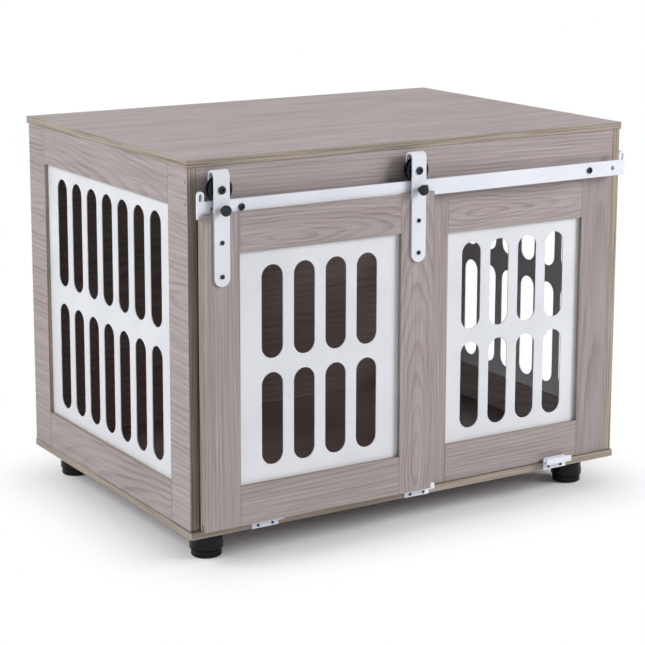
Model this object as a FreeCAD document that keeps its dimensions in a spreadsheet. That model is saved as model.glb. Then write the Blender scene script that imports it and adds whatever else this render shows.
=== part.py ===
import FreeCAD, Part
import math
import os

import Sketcher
from FreeCAD import Placement, Rotation, Vector

# Pet crate: a box of wood-grain boards with slotted panels and a sliding barn door on a flat track.
# Millimetres. X runs to the right, the front faces -Y, Z is up and the feet stand on Z = 0.
# The pieces are drawn in the case frame (X and Y at the centre of the top board, Z = 0 under the base
# board), and each node's Placement carries it to the part's frame.

doc = FreeCAD.newDocument("pet_crate")
sheet = doc.addObject("Spreadsheet::Sheet", "Sizes")

TURN_TO_FRONT = Rotation(Vector(1, 0, 0), 90)
TURN_TO_REAR = Rotation(Vector(1, 0, 0), -90)
TURN_TO_RIGHT = Rotation(Vector(0, 1, 0), 90)
TURN_TO_LEFT = Rotation(Vector(0, 1, 0), -90)
TURN_UP = Rotation()

# Domed screw heads: how much of the height is a straight rim, and how wide the flat crown is
HEAD_RIM_SHARE = 0.45
HEAD_CROWN_SHARE = 0.62


class Size:
    """A number of millimetres together with the sheet expression that gives it."""

    def __init__(self, text, value):
        self.text = text
        self.value = value

    def __add__(self, other):
        other = as_size(other)
        return Size(f"({self.text} + {other.text})", self.value + other.value)

    def __sub__(self, other):
        other = as_size(other)
        return Size(f"({self.text} - {other.text})", self.value - other.value)

    def __mul__(self, factor):
        factor = as_size(factor)
        return Size(f"({self.text} * {factor.text})", self.value * factor.value)

    def __truediv__(self, divisor):
        divisor = as_size(divisor)
        return Size(f"({self.text} / {divisor.text})", self.value / divisor.value)

    def __neg__(self):
        return Size(f"(0 - {self.text})", -self.value)

    def whole(self):
        """The whole number at or below this one."""
        return Size(f"floor({self.text})", math.floor(self.value))


def as_size(value):
    """A Size from a Size or a plain number."""
    return value if isinstance(value, Size) else Size(str(value), value)


def cell(alias, value, meaning):
    """Writes one driving dimension into the sheet and returns it as a Size."""
    row = len(sheet.getUsedCells()) // 2 + 1
    sheet.set(f"A{row}", meaning)
    sheet.set(f"B{row}", str(value))
    sheet.setAlias(f"B{row}", alias)
    return Size(f"Sizes.{alias}", value)


# Case
case_width = cell("case_width", 850, "top board, left to right")
case_depth = cell("case_depth", 600, "top board, front to rear")
side_height = cell("side_height", 576, "side frames, base board to top board")
top_thickness = cell("top_thickness", 12, "top board")
base_thickness = cell("base_thickness", 12, "base board")
board_thickness = cell("board_thickness", 15, "stiles, rails and header")
back_thickness = cell("back_thickness", 12, "back panel")
member_width = cell("member_width", 64, "face width of stiles and rails")
top_side_lap = cell("top_side_lap", 2, "top board past the side frames")
top_front_lap = cell("top_front_lap", 2, "top board past the front frame")
top_rear_lap = cell("top_rear_lap", 5, "top board past the back panel")
base_side_lap = cell("base_side_lap", 1, "base board past the side frames")
base_front_lap = cell("base_front_lap", 5, "base board past the front frame")
base_rear_lap = cell("base_rear_lap", 1, "base board past the back panel")
header_height = cell("header_height", 84, "header rail")
fixed_width = cell("fixed_width", 410, "fixed front frame")

# Slotted panels
insert_thickness = cell("insert_thickness", 1.6, "slotted panels")
insert_edge = cell("insert_edge", 6, "slotted panel edge held in the grooves")
insert_play = cell("insert_play", 0.1, "slotted panel thickness play in its groove")
groove_clearance = cell("groove_clearance", 0.5, "groove deeper than the panel edge")
slot_width = cell("slot_width", 38.5, "slots")
slot_web = cell("slot_web", 20, "web between neighbouring slots")
slot_beside = cell("slot_beside", 30, "least plain panel beside the outer slots")
front_row_gap = cell("front_row_gap", 23, "between the two rows of slots, front and door")
fixed_slot_margin = cell("fixed_slot_margin", 21, "plain panel above and below the slots, fixed frame")
door_slot_margin = cell("door_slot_margin", 25.5, "plain panel above and below the slots, door")
side_row_gap = cell("side_row_gap", 31, "between the two rows of slots, sides")
side_slot_margin = cell("side_slot_margin", 20.5, "plain panel above and below the slots, sides")

# Track
spacer_length = cell("spacer_length", 17.5, "track spacers")
spacer_diameter = cell("spacer_diameter", 14, "track spacers")
bar_thickness = cell("bar_thickness", 4, "track bar")
bar_height = cell("bar_height", 26, "track bar")
bar_end_inset = cell("bar_end_inset", 5.3, "bar's ends inside the side frames' faces")
bar_drop = cell("bar_drop", 63.5, "top board's underside to the bar's centre line")
bar_bolt_inset = cell("bar_bolt_inset", 76.7, "outer track bolts from the bar's ends")
bar_hole_inset = cell("bar_hole_inset", 25.7, "spare holes from the bar's ends")
bar_hole_diameter = cell("bar_hole_diameter", 8, "spare holes")
tab_width = cell("tab_width", 12, "track end tabs")
tab_height = cell("tab_height", 16, "track end tabs above the bar")
tab_slot_width = cell("tab_slot_width", 5.4, "slot in each end tab")
tab_slot_height = cell("tab_slot_height", 12, "slot in each end tab")
bolt_diameter = cell("bolt_diameter", 6, "track, axle and lock threads")
bolt_clearance = cell("bolt_clearance", 0.05, "round a bolt's shank, on the radius")
bolt_head_diameter = cell("bolt_head_diameter", 11, "track bolt heads")
bolt_head_height = cell("bolt_head_height", 3.3, "track and axle bolt heads")
bolt_socket = cell("bolt_socket", 4, "hexagon sockets, across flats")
bolt_socket_depth = cell("bolt_socket_depth", 2.4, "hexagon sockets")
bolt_bite = cell("bolt_bite", 12, "track bolts in the header")

# Door
door_left_lap = cell("door_left_lap", 3.2, "door past the doorway, left")
door_right_lap = cell("door_right_lap", 16.8, "door past the doorway, right")
door_floor_gap = cell("door_floor_gap", 4.5, "door above the base board")
door_track_lap = cell("door_track_lap", 6.5, "door's front lip over the bar")
door_lip = cell("door_lip", 4.4, "thickness of the lip in front of the bar")
door_lip_gap = cell("door_lip_gap", 0.4, "lip to bar")
door_rebate_gap = cell("door_rebate_gap", 2, "rebate floor below the bar")
door_groove_width = cell("door_groove_width", 4, "groove under the door")
door_groove_depth = cell("door_groove_depth", 10, "groove under the door")

# Hangers and wheels
strap_width = cell("strap_width", 27, "hanger straps")
strap_thickness = cell("strap_thickness", 3, "hanger straps")
strap_foot = cell("strap_foot", 113, "strap's lower end below the door's top edge")
strap_crown = cell("strap_crown", 20.2, "axle to the centre of the strap's bend")
strap_screw_high = cell("strap_screw_high", 44.8, "upper strap screw below the door's top edge")
strap_screw_low = cell("strap_screw_low", 97.6, "lower strap screw below the door's top edge")
strap_screw_diameter = cell("strap_screw_diameter", 4, "strap screws")
strap_screw_head = cell("strap_screw_head", 7.2, "strap screw heads, diameter")
strap_screw_head_height = cell("strap_screw_head_height", 2.4, "strap screw heads")
strap_screw_bite = cell("strap_screw_bite", 11.5, "strap screws in the door")
wheel_root = cell("wheel_root", 16.7, "wheel radius in its groove")
wheel_rise = cell("wheel_rise", 0.3, "wheel groove above the bar")
wheel_flange = cell("wheel_flange", 4, "wheel flange past its groove")
wheel_width = cell("wheel_width", 10.6, "wheel")
wheel_groove_play = cell("wheel_groove_play", 0.4, "each side of the bar in the wheel's groove")
wheel_groove_flare = cell("wheel_groove_flare", 1.2, "widening of the groove to the rim, each side")
wheel_side_gap = cell("wheel_side_gap", 0.3, "wheel hub to strap, each side")
wheel_hub_diameter = cell("wheel_hub_diameter", 17, "wheel hub")
wheel_dish = cell("wheel_dish", 1.5, "depth of the wheel's side recess")
wheel_rim = cell("wheel_rim", 2.6, "rim outside the side recess")
sleeve_diameter = cell("sleeve_diameter", 8, "axle sleeves")
running_clearance = cell("running_clearance", 0.05, "turning fits, on the radius")
axle_head_diameter = cell("axle_head_diameter", 12.8, "axle bolt heads")
nut_flats = cell("nut_flats", 10, "axle nuts, across flats")
nut_height = cell("nut_height", 5, "axle nuts")
axle_end = cell("axle_end", 1, "axle bolt past its nut")

# Lock knobs
lock_reach = cell("lock_reach", 17, "knob face in front of the strap")
lock_tip_gap = cell("lock_tip_gap", 4.1, "stud tip to the bar, loosened")
knob_diameter = cell("knob_diameter", 17.6, "knob head")
knob_height = cell("knob_height", 7.5, "knob head")
knob_edge = cell("knob_edge", 1.2, "bevel of the knob's rear edge")
knob_dome = cell("knob_dome", 3.4, "rise of the knob's domed face")
knob_neck_diameter = cell("knob_neck_diameter", 11, "knob neck")
knob_neck_height = cell("knob_neck_height", 5, "knob neck")
knob_skin = cell("knob_skin", 2.5, "knob face in front of the stud's end")
knob_flute_count = cell("knob_flute_count", 12, "grip flutes round the knob")
knob_flute_width = cell("knob_flute_width", 3, "grip flutes")
knob_flute_depth = cell("knob_flute_depth", 0.6, "grip flutes")

# Bottom guides
guide_width = cell("guide_width", 48.5, "bottom guides")
guide_lip_width = cell("guide_lip_width", 54.5, "upright lip of each guide")
guide_sheet = cell("guide_sheet", 2, "bottom guides' thickness")
guide_height = cell("guide_height", 21, "back plate of each guide")
guide_lip_height = cell("guide_lip_height", 8.5, "upright lip above the shelf")
guide_corner = cell("guide_corner", 4, "rounded upper corners of each guide's back plate")
guide_lip_corner = cell("guide_lip_corner", 2.5, "rounded upper corners of each guide's lip")
guide_inset = cell("guide_inset", 131.5, "outer guides' middles from the base's side edges")
guide_door_inset = cell("guide_door_inset", 14.8, "middle guide's middle from the shut door's right edge")
guide_screw_diameter = cell("guide_screw_diameter", 3, "guide screws")
guide_screw_head = cell("guide_screw_head", 5.2, "guide screw heads, diameter")
guide_screw_head_height = cell("guide_screw_head_height", 1.6, "guide screw heads")
guide_screw_bite = cell("guide_screw_bite", 14, "guide screws in the base board")
guide_screw_rise = cell("guide_screw_rise", 4.8, "guide screws above the base's underside")
guide_screw_pitch = cell("guide_screw_pitch", 26.6, "between the two screws of a guide")

# Feet
foot_height = cell("foot_height", 50, "feet")
foot_top_diameter = cell("foot_top_diameter", 52, "feet at the base board")
foot_collar_diameter = cell("foot_collar_diameter", 54, "feet at their collar, the widest place")
foot_sole_diameter = cell("foot_sole_diameter", 49.6, "feet below the collar")
foot_sole_edge = cell("foot_sole_edge", 1.8, "bevel round the sole")
foot_ring_rise = cell("foot_ring_rise", 4.4, "lower ring groove above the floor")
foot_ring_pitch = cell("foot_ring_pitch", 6.4, "between the two ring grooves")
foot_ring_width = cell("foot_ring_width", 1.3, "ring grooves")
foot_ring_depth = cell("foot_ring_depth", 1.2, "ring grooves")
foot_collar_lead = cell("foot_collar_lead", 1.4, "height of the bevel below the collar")
foot_collar_height = cell("foot_collar_height", 8.5, "collar")
foot_collar_fade = cell("foot_collar_fade", 3.5, "height of the slope above the collar")
foot_well_diameter = cell("foot_well_diameter", 16, "screw well in the sole")
foot_floor = cell("foot_floor", 20, "foot above the screw well")
foot_side_inset = cell("foot_side_inset", 56.6, "foot centre from the base's side edge")
foot_front_inset = cell("foot_front_inset", 57.6, "foot centre from the base's front edge")
foot_rear_inset = cell("foot_rear_inset", 45.9, "foot centre from the base's rear edge")
foot_screw_diameter = cell("foot_screw_diameter", 6, "foot screws")
foot_screw_head = cell("foot_screw_head", 12, "foot screw heads, diameter")
foot_screw_head_height = cell("foot_screw_head_height", 4, "foot screw heads")
foot_screw_bite = cell("foot_screw_bite", 9, "foot screws in the base board")

# Dowels and screws in the case
dowel_diameter = cell("dowel_diameter", 8, "dowels")
dowel_length = cell("dowel_length", 30, "dowels between stiles and rails")
dowel_inset = cell("dowel_inset", 16, "dowels from the rail's edges")
top_dowel_length = cell("top_dowel_length", 22, "dowels under the top board")
top_dowel_sink = cell("top_dowel_sink", 8, "top dowels in the top board")
header_dowel_inset = cell("header_dowel_inset", 158, "header's top dowels from its ends")
header_screw_diameter = cell("header_screw_diameter", 4, "screws into the header's ends")
header_screw_head = cell("header_screw_head", 6, "their flush heads, diameter")
header_screw_head_depth = cell("header_screw_head_depth", 2, "their flush heads")
header_screw_length = cell("header_screw_length", 45, "screws into the header's ends")
header_screw_high = cell("header_screw_high", 23, "upper header screw below the top board")
header_screw_low = cell("header_screw_low", 57, "lower header screw below the top board")
base_screw_diameter = cell("base_screw_diameter", 4, "screws up through the base board")
base_screw_head = cell("base_screw_head", 8, "their flush heads, diameter")
base_screw_head_depth = cell("base_screw_head_depth", 2.4, "their flush heads")
base_screw_length = cell("base_screw_length", 40, "screws up through the base board")
back_screw_inset = cell("back_screw_inset", 158, "outer back panel screws from its edges")

# Planes of the case
side_face = case_width / 2 - top_side_lap
side_inner = side_face - board_thickness
front_face = top_front_lap - case_depth / 2
rear_face = case_depth / 2 - top_rear_lap
base_front = front_face - base_front_lap
base_rear = rear_face + base_rear_lap
base_half_width = side_face + base_side_lap
top_under = base_thickness + side_height
header_foot = top_under - header_height
fixed_left = side_inner - fixed_width
header_dowel_reach = side_inner - header_dowel_inset
back_screw_reach = side_inner - back_screw_inset
guide_reach = base_half_width - guide_inset

# Planes of the track and the door
bar_end = side_face - bar_end_inset
bar_bolt_reach = bar_end - bar_bolt_inset
bar_hole_reach = bar_end - bar_hole_inset
bar_rear = front_face - spacer_length
bar_front = bar_rear - bar_thickness
bar_middle = bar_rear - bar_thickness / 2
bar_axis = top_under - bar_drop
bar_top = bar_axis + bar_height / 2
bar_bottom = bar_axis - bar_height / 2
door_front = bar_front - door_lip_gap - door_lip
door_middle = door_front + board_thickness / 2
door_left = -side_inner - door_left_lap
door_right = fixed_left + door_right_lap
door_foot = base_thickness + door_floor_gap
door_head = bar_bottom + door_track_lap

# Planes of the hangers
strap_front = door_front - strap_thickness
strap_gap = (bar_middle - door_front) * 2
strap_rear_inner = door_front + strap_gap
strap_rear = strap_rear_inner + strap_thickness
axle_height = bar_top + wheel_rise + wheel_root
crown_height = axle_height + strap_crown
left_strap_place = door_left + member_width / 2
right_strap_place = door_right - member_width / 2

# The part's frame: its origin is under the middle of the whole part's box, on the floor.
knob_face = strap_front - lock_reach
shift_to_rear = -(knob_face + case_depth / 2) / 2

nodes = []


def bind(item, name, size):
    """Binds one property of an item to a Size, or sets a plain number."""
    if isinstance(size, Size):
        item.setExpression(name, size.text)
    else:
        setattr(item, name, size)


def place(item, at, rotation=TURN_UP):
    """Puts an item at a point, given as three Sizes or numbers, with a rotation."""
    sizes = [as_size(value) for value in at]
    item.Placement = Placement(Vector(*[size.value for size in sizes]), rotation)
    for axis, size in zip("xyz", sizes):
        item.setExpression(f"Placement.Base.{axis}", size.text)
    return item


def node(item, label, at=(0, 0, 0), rotation=TURN_UP):
    """Makes an item a named node of the part and carries it to the part's frame."""
    item.Label = label
    x, y, z = [as_size(value) for value in at]
    place(item, (x, y + shift_to_rear, z + foot_height), rotation)
    nodes.append(item)
    return item


def box(name, low, high):
    """A block between two corners."""
    item = doc.addObject("Part::Box", name)
    low = [as_size(value) for value in low]
    high = [as_size(value) for value in high]
    for name_of_side, start, end in zip(("Length", "Width", "Height"), low, high):
        bind(item, name_of_side, end - start)
    return place(item, low)


def rod(name, diameter, length, start, rotation):
    """A round rod of a diameter from a start point."""
    item = doc.addObject("Part::Cylinder", name)
    bind(item, "Radius", diameter / 2)
    bind(item, "Height", length)
    return place(item, start, rotation)


def taper(name, start_diameter, end_diameter, length, start, rotation):
    """A round taper between two diameters."""
    item = doc.addObject("Part::Cone", name)
    bind(item, "Radius1", start_diameter / 2)
    bind(item, "Radius2", end_diameter / 2)
    bind(item, "Height", length)
    return place(item, start, rotation)


def hexagon(name, flats, length, start, rotation):
    """A hexagonal bar of a size across its flats."""
    flat_to_corner = 0.866025
    item = doc.addObject("Part::Prism", name)
    item.Polygon = 6
    bind(item, "Circumradius", flats / 2 / flat_to_corner)
    bind(item, "Height", length)
    return place(item, start, rotation)


def fuse(name, items):
    """The union of several items."""
    item = doc.addObject("Part::MultiFuse", name)
    item.Shapes = items
    return item


def crowned_plate(name, low, high, radius):
    """An upright plate across the width, with its two upper corners rounded."""
    left, front, foot = [as_size(value) for value in low]
    right, rear, top = [as_size(value) for value in high]
    shoulder = top - radius
    pieces = [
        box(f"{name}_wide", (left, front, foot), (right, rear, shoulder)),
        box(f"{name}_tall", (left + radius, front, foot), (right - radius, rear, top)),
    ]
    for corner, middle in (("left", left + radius), ("right", right - radius)):
        start = (middle, front, shoulder)
        pieces.append(rod(f"{name}_{corner}_round", radius * 2, rear - front, start, TURN_TO_REAR))
    return fuse(name, pieces)


def cut(name, base, tools):
    """A base without its tools."""
    item = doc.addObject("Part::Cut", name)
    item.Base = base
    item.Tool = tools[0] if len(tools) == 1 else fuse(f"{name}_tools", tools)
    return item


def group(label, items):
    """One node of several separate solids."""
    item = doc.addObject("Part::Compound", label)
    item.Links = items
    return node(item, label)


def origin_plane(body, role):
    """One of a body's own origin planes."""
    return next(item for item in body.Origin.OriginFeatures if item.Role == role)


def new_sketch(body, name, role):
    """An empty sketch on one of its body's origin planes."""
    sketch = body.newObject("Sketcher::SketchObject", name)
    sketch.AttachmentSupport = [(origin_plane(body, role), "")]
    sketch.MapMode = "FlatFace"
    return sketch


def pin_point(sketch, geometry, position, point):
    """Ties one sketch point to its two coordinates."""
    axes = (("DistanceX", -2), ("DistanceY", -1))
    for (kind, axis_line), size in zip(axes, point):
        size = as_size(size)
        if size.value == 0:
            sketch.addConstraint(Sketcher.Constraint("PointOnObject", geometry, position, axis_line))
            continue
        index = sketch.addConstraint(Sketcher.Constraint(kind, -1, 1, geometry, position, size.value))
        sketch.setExpression(f"Constraints[{index}]", size.text)


def draw_polygon(sketch, points):
    """A closed outline of straight sides through points given as pairs of Sizes."""
    corners = [Vector(as_size(u).value, as_size(v).value, 0) for u, v in points]
    count = len(points)
    for index in range(count):
        sketch.addGeometry(Part.LineSegment(corners[index], corners[(index + 1) % count]), False)
    for index in range(count):
        sketch.addConstraint(Sketcher.Constraint("Coincident", index, 2, (index + 1) % count, 1))
        pin_point(sketch, index, 1, points[index])


def draw_slot(sketch, centre, width, height):
    """An upright slot with full-round ends about the centre of its lower end."""
    u, v = centre
    radius = width / 2
    rise = height - width
    low = Vector(u.value, v.value, 0)
    high = Vector(u.value, (v + rise).value, 0)
    side = Vector(radius.value, 0, 0)
    up = Vector(0, 0, 1)
    sketch.addGeometry(Part.ArcOfCircle(Part.Circle(high, up, radius.value), 0, math.pi), False)
    sketch.addGeometry(Part.ArcOfCircle(Part.Circle(low, up, radius.value), math.pi, 2 * math.pi), False)
    sketch.addGeometry(Part.LineSegment(low - side, high - side), False)
    sketch.addGeometry(Part.LineSegment(low + side, high + side), False)
    for arc, arc_end, line, line_end in ((0, 1, 3, 2), (0, 2, 2, 2), (1, 1, 2, 1), (1, 2, 3, 1)):
        sketch.addConstraint(Sketcher.Constraint("Tangent", arc, arc_end, line, line_end))
    sketch.addConstraint(Sketcher.Constraint("Equal", 0, 1))
    pin_point(sketch, 1, 3, (u, v))
    pin_point(sketch, 0, 3, (u, v + rise))
    index = sketch.addConstraint(Sketcher.Constraint("Radius", 1, radius.value))
    sketch.setExpression(f"Constraints[{index}]", radius.text)


def turned(name, profile):
    """A body turned about its own Z axis from a profile of radius and height."""
    body = doc.addObject("PartDesign::Body", name)
    sketch = new_sketch(body, f"{name}_profile", "XZ_Plane")
    draw_polygon(sketch, profile)
    turn = body.newObject("PartDesign::Revolution", f"{name}_turn")
    turn.Profile = sketch
    turn.ReferenceAxis = (sketch, ["V_Axis"])
    turn.Angle = 360
    return body


def slotted_panel(label, plane, width, height, row_gap, slot_margin, corner):
    """A thin panel with two rows of upright slots, from its lower corner in its middle plane."""
    pitch = slot_width + slot_web
    columns = ((width - insert_edge * 2 - slot_beside * 2 + slot_web) / pitch).whole()
    slot_height = (height - row_gap) / 2 - insert_edge - slot_margin
    body = doc.addObject("PartDesign::Body", label)
    sketch = new_sketch(body, f"{label}_outline", plane)
    draw_polygon(sketch, [(0, 0), (width, 0), (width, height), (0, height)])
    pad = body.newObject("PartDesign::Pad", f"{label}_sheet")
    pad.Profile = sketch
    pad.SideType = "Symmetric"
    bind(pad, "Length", insert_thickness)
    first_u = (width - pitch * (columns - 1)) / 2
    first_v = insert_edge + slot_margin + slot_width / 2
    slot = new_sketch(body, f"{label}_slot", plane)
    draw_slot(slot, (first_u, first_v), slot_width, slot_height)
    pocket = body.newObject("PartDesign::Pocket", f"{label}_first_slot")
    pocket.Profile = slot
    pocket.SideType = "Symmetric"
    bind(pocket, "Length", insert_thickness * 2)
    pattern = body.newObject("PartDesign::MultiTransform", f"{label}_slots")
    pattern.Originals = [pocket]
    steps = []
    for axis, count, step in (("H_Axis", columns, pitch), ("V_Axis", 2, slot_height + row_gap)):
        row = body.newObject("PartDesign::LinearPattern", f"{label}_{axis}_row")
        row.Direction = (slot, [axis])
        row.Mode = "Spacing"
        bind(row, "Offset", step)
        bind(row, "Occurrences", count)
        steps.append(row)
    pattern.Transformations = steps
    body.Tip = pattern
    return node(body, label, corner)


def flush_screw(name, diameter, head_diameter, head_depth, length, start, rotation):
    """A countersunk screw from the middle of its flush head."""
    head = taper(f"{name}_head", head_diameter, diameter, head_depth, start, rotation)
    shank = rod(f"{name}_shank", diameter, length, start, rotation)
    return fuse(name, [head, shank])


def raised_screw(name, diameter, head_diameter, head_height, length, seat, rotation):
    """A screw whose domed head stands on a seat, with its shank along the rotated Z axis."""
    x, y, z = seat
    shank = rod(f"{name}_shank", diameter, length, seat, rotation)
    rim_height = head_height * HEAD_RIM_SHARE
    crown = head_diameter * HEAD_CROWN_SHARE
    if rotation == TURN_UP:
        rim_at = (x, y, z - rim_height)
        dome_at = (x, y, z - head_height)
    else:
        rim_at = (x, y - rim_height, z)
        dome_at = (x, y - head_height, z)
    rim = rod(f"{name}_rim", head_diameter, rim_height, rim_at, rotation)
    dome = taper(f"{name}_dome", crown, head_diameter, head_height - rim_height, dome_at, rotation)
    return fuse(name, [dome, rim, shank])


def socketed(name, blank, flats, depth, at):
    """A bolt with a hexagon socket in its front face."""
    socket = hexagon(f"{name}_socket", flats, depth, at, TURN_TO_REAR)
    return cut(f"{name}_socketed", blank, [socket])


class FramedPanel:
    """Two stiles, two rails, dowels and a slotted panel, standing along X or along Y."""

    def __init__(self, prefix, along, span, faces, heights, stile_names):
        self.prefix = prefix
        self.along = along
        self.span = span
        self.faces = faces
        self.heights = heights
        self.stile_names = stile_names
        self.opening = (span[0] + member_width, span[1] - member_width)
        self.opening_heights = (heights[0] + member_width, heights[1] - member_width)
        self.middle = (faces[0] + faces[1]) / 2
        self.dowel_items = {}

    def point(self, along, across, height):
        """A point from its place along the panel, through its thickness and up."""
        return (along, across, height) if self.along == "x" else (across, along, height)

    def block(self, name, span, heights, faces=None):
        """A block of the panel's thickness, or between other faces."""
        across = faces or self.faces
        low = self.point(span[0], across[0], heights[0])
        high = self.point(span[1], across[1], heights[1])
        return box(name, low, high)

    def make_dowels(self):
        """Two dowels through each joint of a stile and a rail."""
        rotation = TURN_TO_RIGHT if self.along == "x" else TURN_TO_REAR
        rails = {
            "bottom_rail": (self.heights[0], self.opening_heights[0]),
            "top_rail": (self.opening_heights[1], self.heights[1]),
        }
        for stile, joint in zip(self.stile_names, self.opening):
            for rail, (rail_low, rail_high) in rails.items():
                items = []
                for row, height in (("low", rail_low + dowel_inset), ("high", rail_high - dowel_inset)):
                    name = f"{self.prefix}_{stile}_{rail}_{row}_dowel"
                    start = self.point(joint - dowel_length / 2, self.middle, height)
                    items.append(rod(name, dowel_diameter, dowel_length, start, rotation))
                self.dowel_items[stile, rail] = items

    def dowels_of(self, member):
        """The dowels that enter one stile or rail."""
        return [dowel for key, pair in self.dowel_items.items() if member in key for dowel in pair]

    def build(self, row_gap, slot_margin, cuts):
        """Makes the nodes. Cuts maps a member's name to further tools for it."""
        self.make_dowels()
        groove_depth = insert_edge + groove_clearance
        half_groove = (insert_thickness + insert_play) / 2
        groove = self.block(
            f"{self.prefix}_groove",
            (self.opening[0] - groove_depth, self.opening[1] + groove_depth),
            (self.opening_heights[0] - groove_depth, self.opening_heights[1] + groove_depth),
            (self.middle - half_groove, self.middle + half_groove),
        )
        low_stile, high_stile = self.stile_names
        members = {
            low_stile: ((self.span[0], self.opening[0]), self.heights),
            high_stile: ((self.opening[1], self.span[1]), self.heights),
            "bottom_rail": (self.opening, (self.heights[0], self.opening_heights[0])),
            "top_rail": (self.opening, (self.opening_heights[1], self.heights[1])),
        }
        for member, (span, heights) in members.items():
            label = f"{self.prefix}_{member}"
            blank = self.block(f"{label}_blank", span, heights)
            tools = [groove] + self.dowels_of(member) + cuts.get(member, [])
            node(cut(label, blank, tools), label)
        slotted_panel(
            f"{self.prefix}_slotted_panel",
            "XZ_Plane" if self.along == "x" else "YZ_Plane",
            self.opening[1] - self.opening[0] + insert_edge * 2,
            self.opening_heights[1] - self.opening_heights[0] + insert_edge * 2,
            row_gap,
            slot_margin,
            self.point(self.opening[0] - insert_edge, self.middle, self.opening_heights[0] - insert_edge),
        )
        all_dowels = [dowel for pair in self.dowel_items.values() for dowel in pair]
        group(f"{self.prefix}_dowels", all_dowels)


# Places that several pieces share
side_thickness_middle = side_inner + board_thickness / 2
front_thickness_middle = front_face + board_thickness / 2
front_stile_middle = front_face + member_width / 2
rear_stile_middle = rear_face - member_width / 2
side_middle = (front_face + rear_face) / 2
fixed_stile_middles = {
    "left_stile": fixed_left + member_width / 2,
    "right_stile": side_inner - member_width / 2,
}
side_places = {
    "front_stile": front_stile_middle,
    "rail": side_middle,
    "rear_stile": rear_stile_middle,
}
sides = {"left": -side_thickness_middle, "right": side_thickness_middle}


# Dowels under the top board
top_dowel_start = top_under + top_dowel_sink - top_dowel_length
top_dowels = {}
for side_name, side_x in sides.items():
    for place_name, place_y in side_places.items():
        key = f"{side_name}_{place_name}"
        top_dowels[key] = rod(
            f"top_dowel_{key}", dowel_diameter, top_dowel_length,
            (side_x, place_y, top_dowel_start), TURN_UP,
        )
for side_name, place_x in (("left", -header_dowel_reach), ("right", header_dowel_reach)):
    key = f"header_{side_name}"
    start = (place_x, front_thickness_middle, top_dowel_start)
    top_dowels[key] = rod(f"top_dowel_{key}", dowel_diameter, top_dowel_length, start, TURN_UP)

# Dowels between the header and the fixed frame
header_dowels = {}
for stile_name, stile_x in fixed_stile_middles.items():
    start = (stile_x, front_thickness_middle, header_foot - dowel_length / 2)
    header_dowels[stile_name] = rod(
        f"header_dowel_{stile_name}", dowel_diameter, dowel_length, start, TURN_UP
    )

# Screws up through the base board
base_screws = {}


def base_screw(key, x, y):
    """One flush screw from under the base board."""
    base_screws[key] = flush_screw(
        f"base_screw_{key}", base_screw_diameter, base_screw_head, base_screw_head_depth,
        base_screw_length, (x, y, 0), TURN_UP,
    )


for side_name, side_x in sides.items():
    for place_name, place_y in side_places.items():
        base_screw(f"{side_name}_{place_name}", side_x, place_y)
for stile_name, stile_x in fixed_stile_middles.items():
    base_screw(f"fixed_{stile_name}", stile_x, front_thickness_middle)
back_middle = rear_face - back_thickness / 2
back_keys = []
for key, place_x in (("left", -back_screw_reach), ("middle", as_size(0)), ("right", back_screw_reach)):
    base_screw(f"back_{key}", place_x, back_middle)
    back_keys.append(f"back_{key}")

# Screws through the side frames into the ends of the header
header_screws = {}
for side_name, face_x, rotation in (
    ("left", -side_face, TURN_TO_RIGHT),
    ("right", side_face, TURN_TO_LEFT),
):
    header_screws[side_name] = [
        flush_screw(
            f"header_screw_{side_name}_{row}", header_screw_diameter, header_screw_head,
            header_screw_head_depth, header_screw_length,
            (face_x, front_thickness_middle, top_under - drop), rotation,
        )
        for row, drop in (("high", header_screw_high), ("low", header_screw_low))
    ]

# Track bolts
bolt_places = {"left": -bar_bolt_reach, "middle": as_size(0), "right": bar_bolt_reach}
bolt_length = bar_thickness + spacer_length + bolt_bite
bolt_blanks = {
    key: raised_screw(
        f"track_bolt_{key}", bolt_diameter, bolt_head_diameter, bolt_head_height, bolt_length,
        (bolt_x, bar_front, bar_axis), TURN_TO_REAR,
    )
    for key, bolt_x in bolt_places.items()
}

# Foot and guide screws, which also make their holes in the base board
foot_places = {
    f"{end}_{side_name}": (x, y)
    for end, y in (("front", base_front + foot_front_inset), ("rear", base_rear - foot_rear_inset))
    for side_name, x in (
        ("left", foot_side_inset - base_half_width),
        ("right", base_half_width - foot_side_inset),
    )
}
foot_screws = {
    key: raised_screw(
        f"foot_screw_{key}", foot_screw_diameter, foot_screw_head, foot_screw_head_height,
        foot_floor + foot_screw_bite, (x, y, -foot_floor), TURN_UP,
    )
    for key, (x, y) in foot_places.items()
}
guide_places = {"left": -guide_reach, "middle": door_right - guide_door_inset, "right": guide_reach}
guide_screws = {
    key: [
        raised_screw(
            f"guide_screw_{key}_{number}", guide_screw_diameter, guide_screw_head, guide_screw_head_height,
            guide_sheet + guide_screw_bite,
            (guide_x + offset, base_front - guide_sheet, guide_screw_rise), TURN_TO_REAR,
        )
        for number, offset in (("one", -guide_screw_pitch / 2), ("two", guide_screw_pitch / 2))
    ]
    for key, guide_x in guide_places.items()
}

# Top and base boards
top_blank = box(
    "top_blank",
    (-case_width / 2, -case_depth / 2, top_under),
    (case_width / 2, case_depth / 2, top_under + top_thickness),
)
node(cut("top_board", top_blank, list(top_dowels.values())), "top_board")
base_blank = box(
    "base_blank", (-base_half_width, base_front, 0), (base_half_width, base_rear, base_thickness)
)
base_tools = list(base_screws.values()) + list(foot_screws.values())
base_tools += [screw for pair in guide_screws.values() for screw in pair]
node(cut("base_board", base_blank, base_tools), "base_board")

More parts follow.
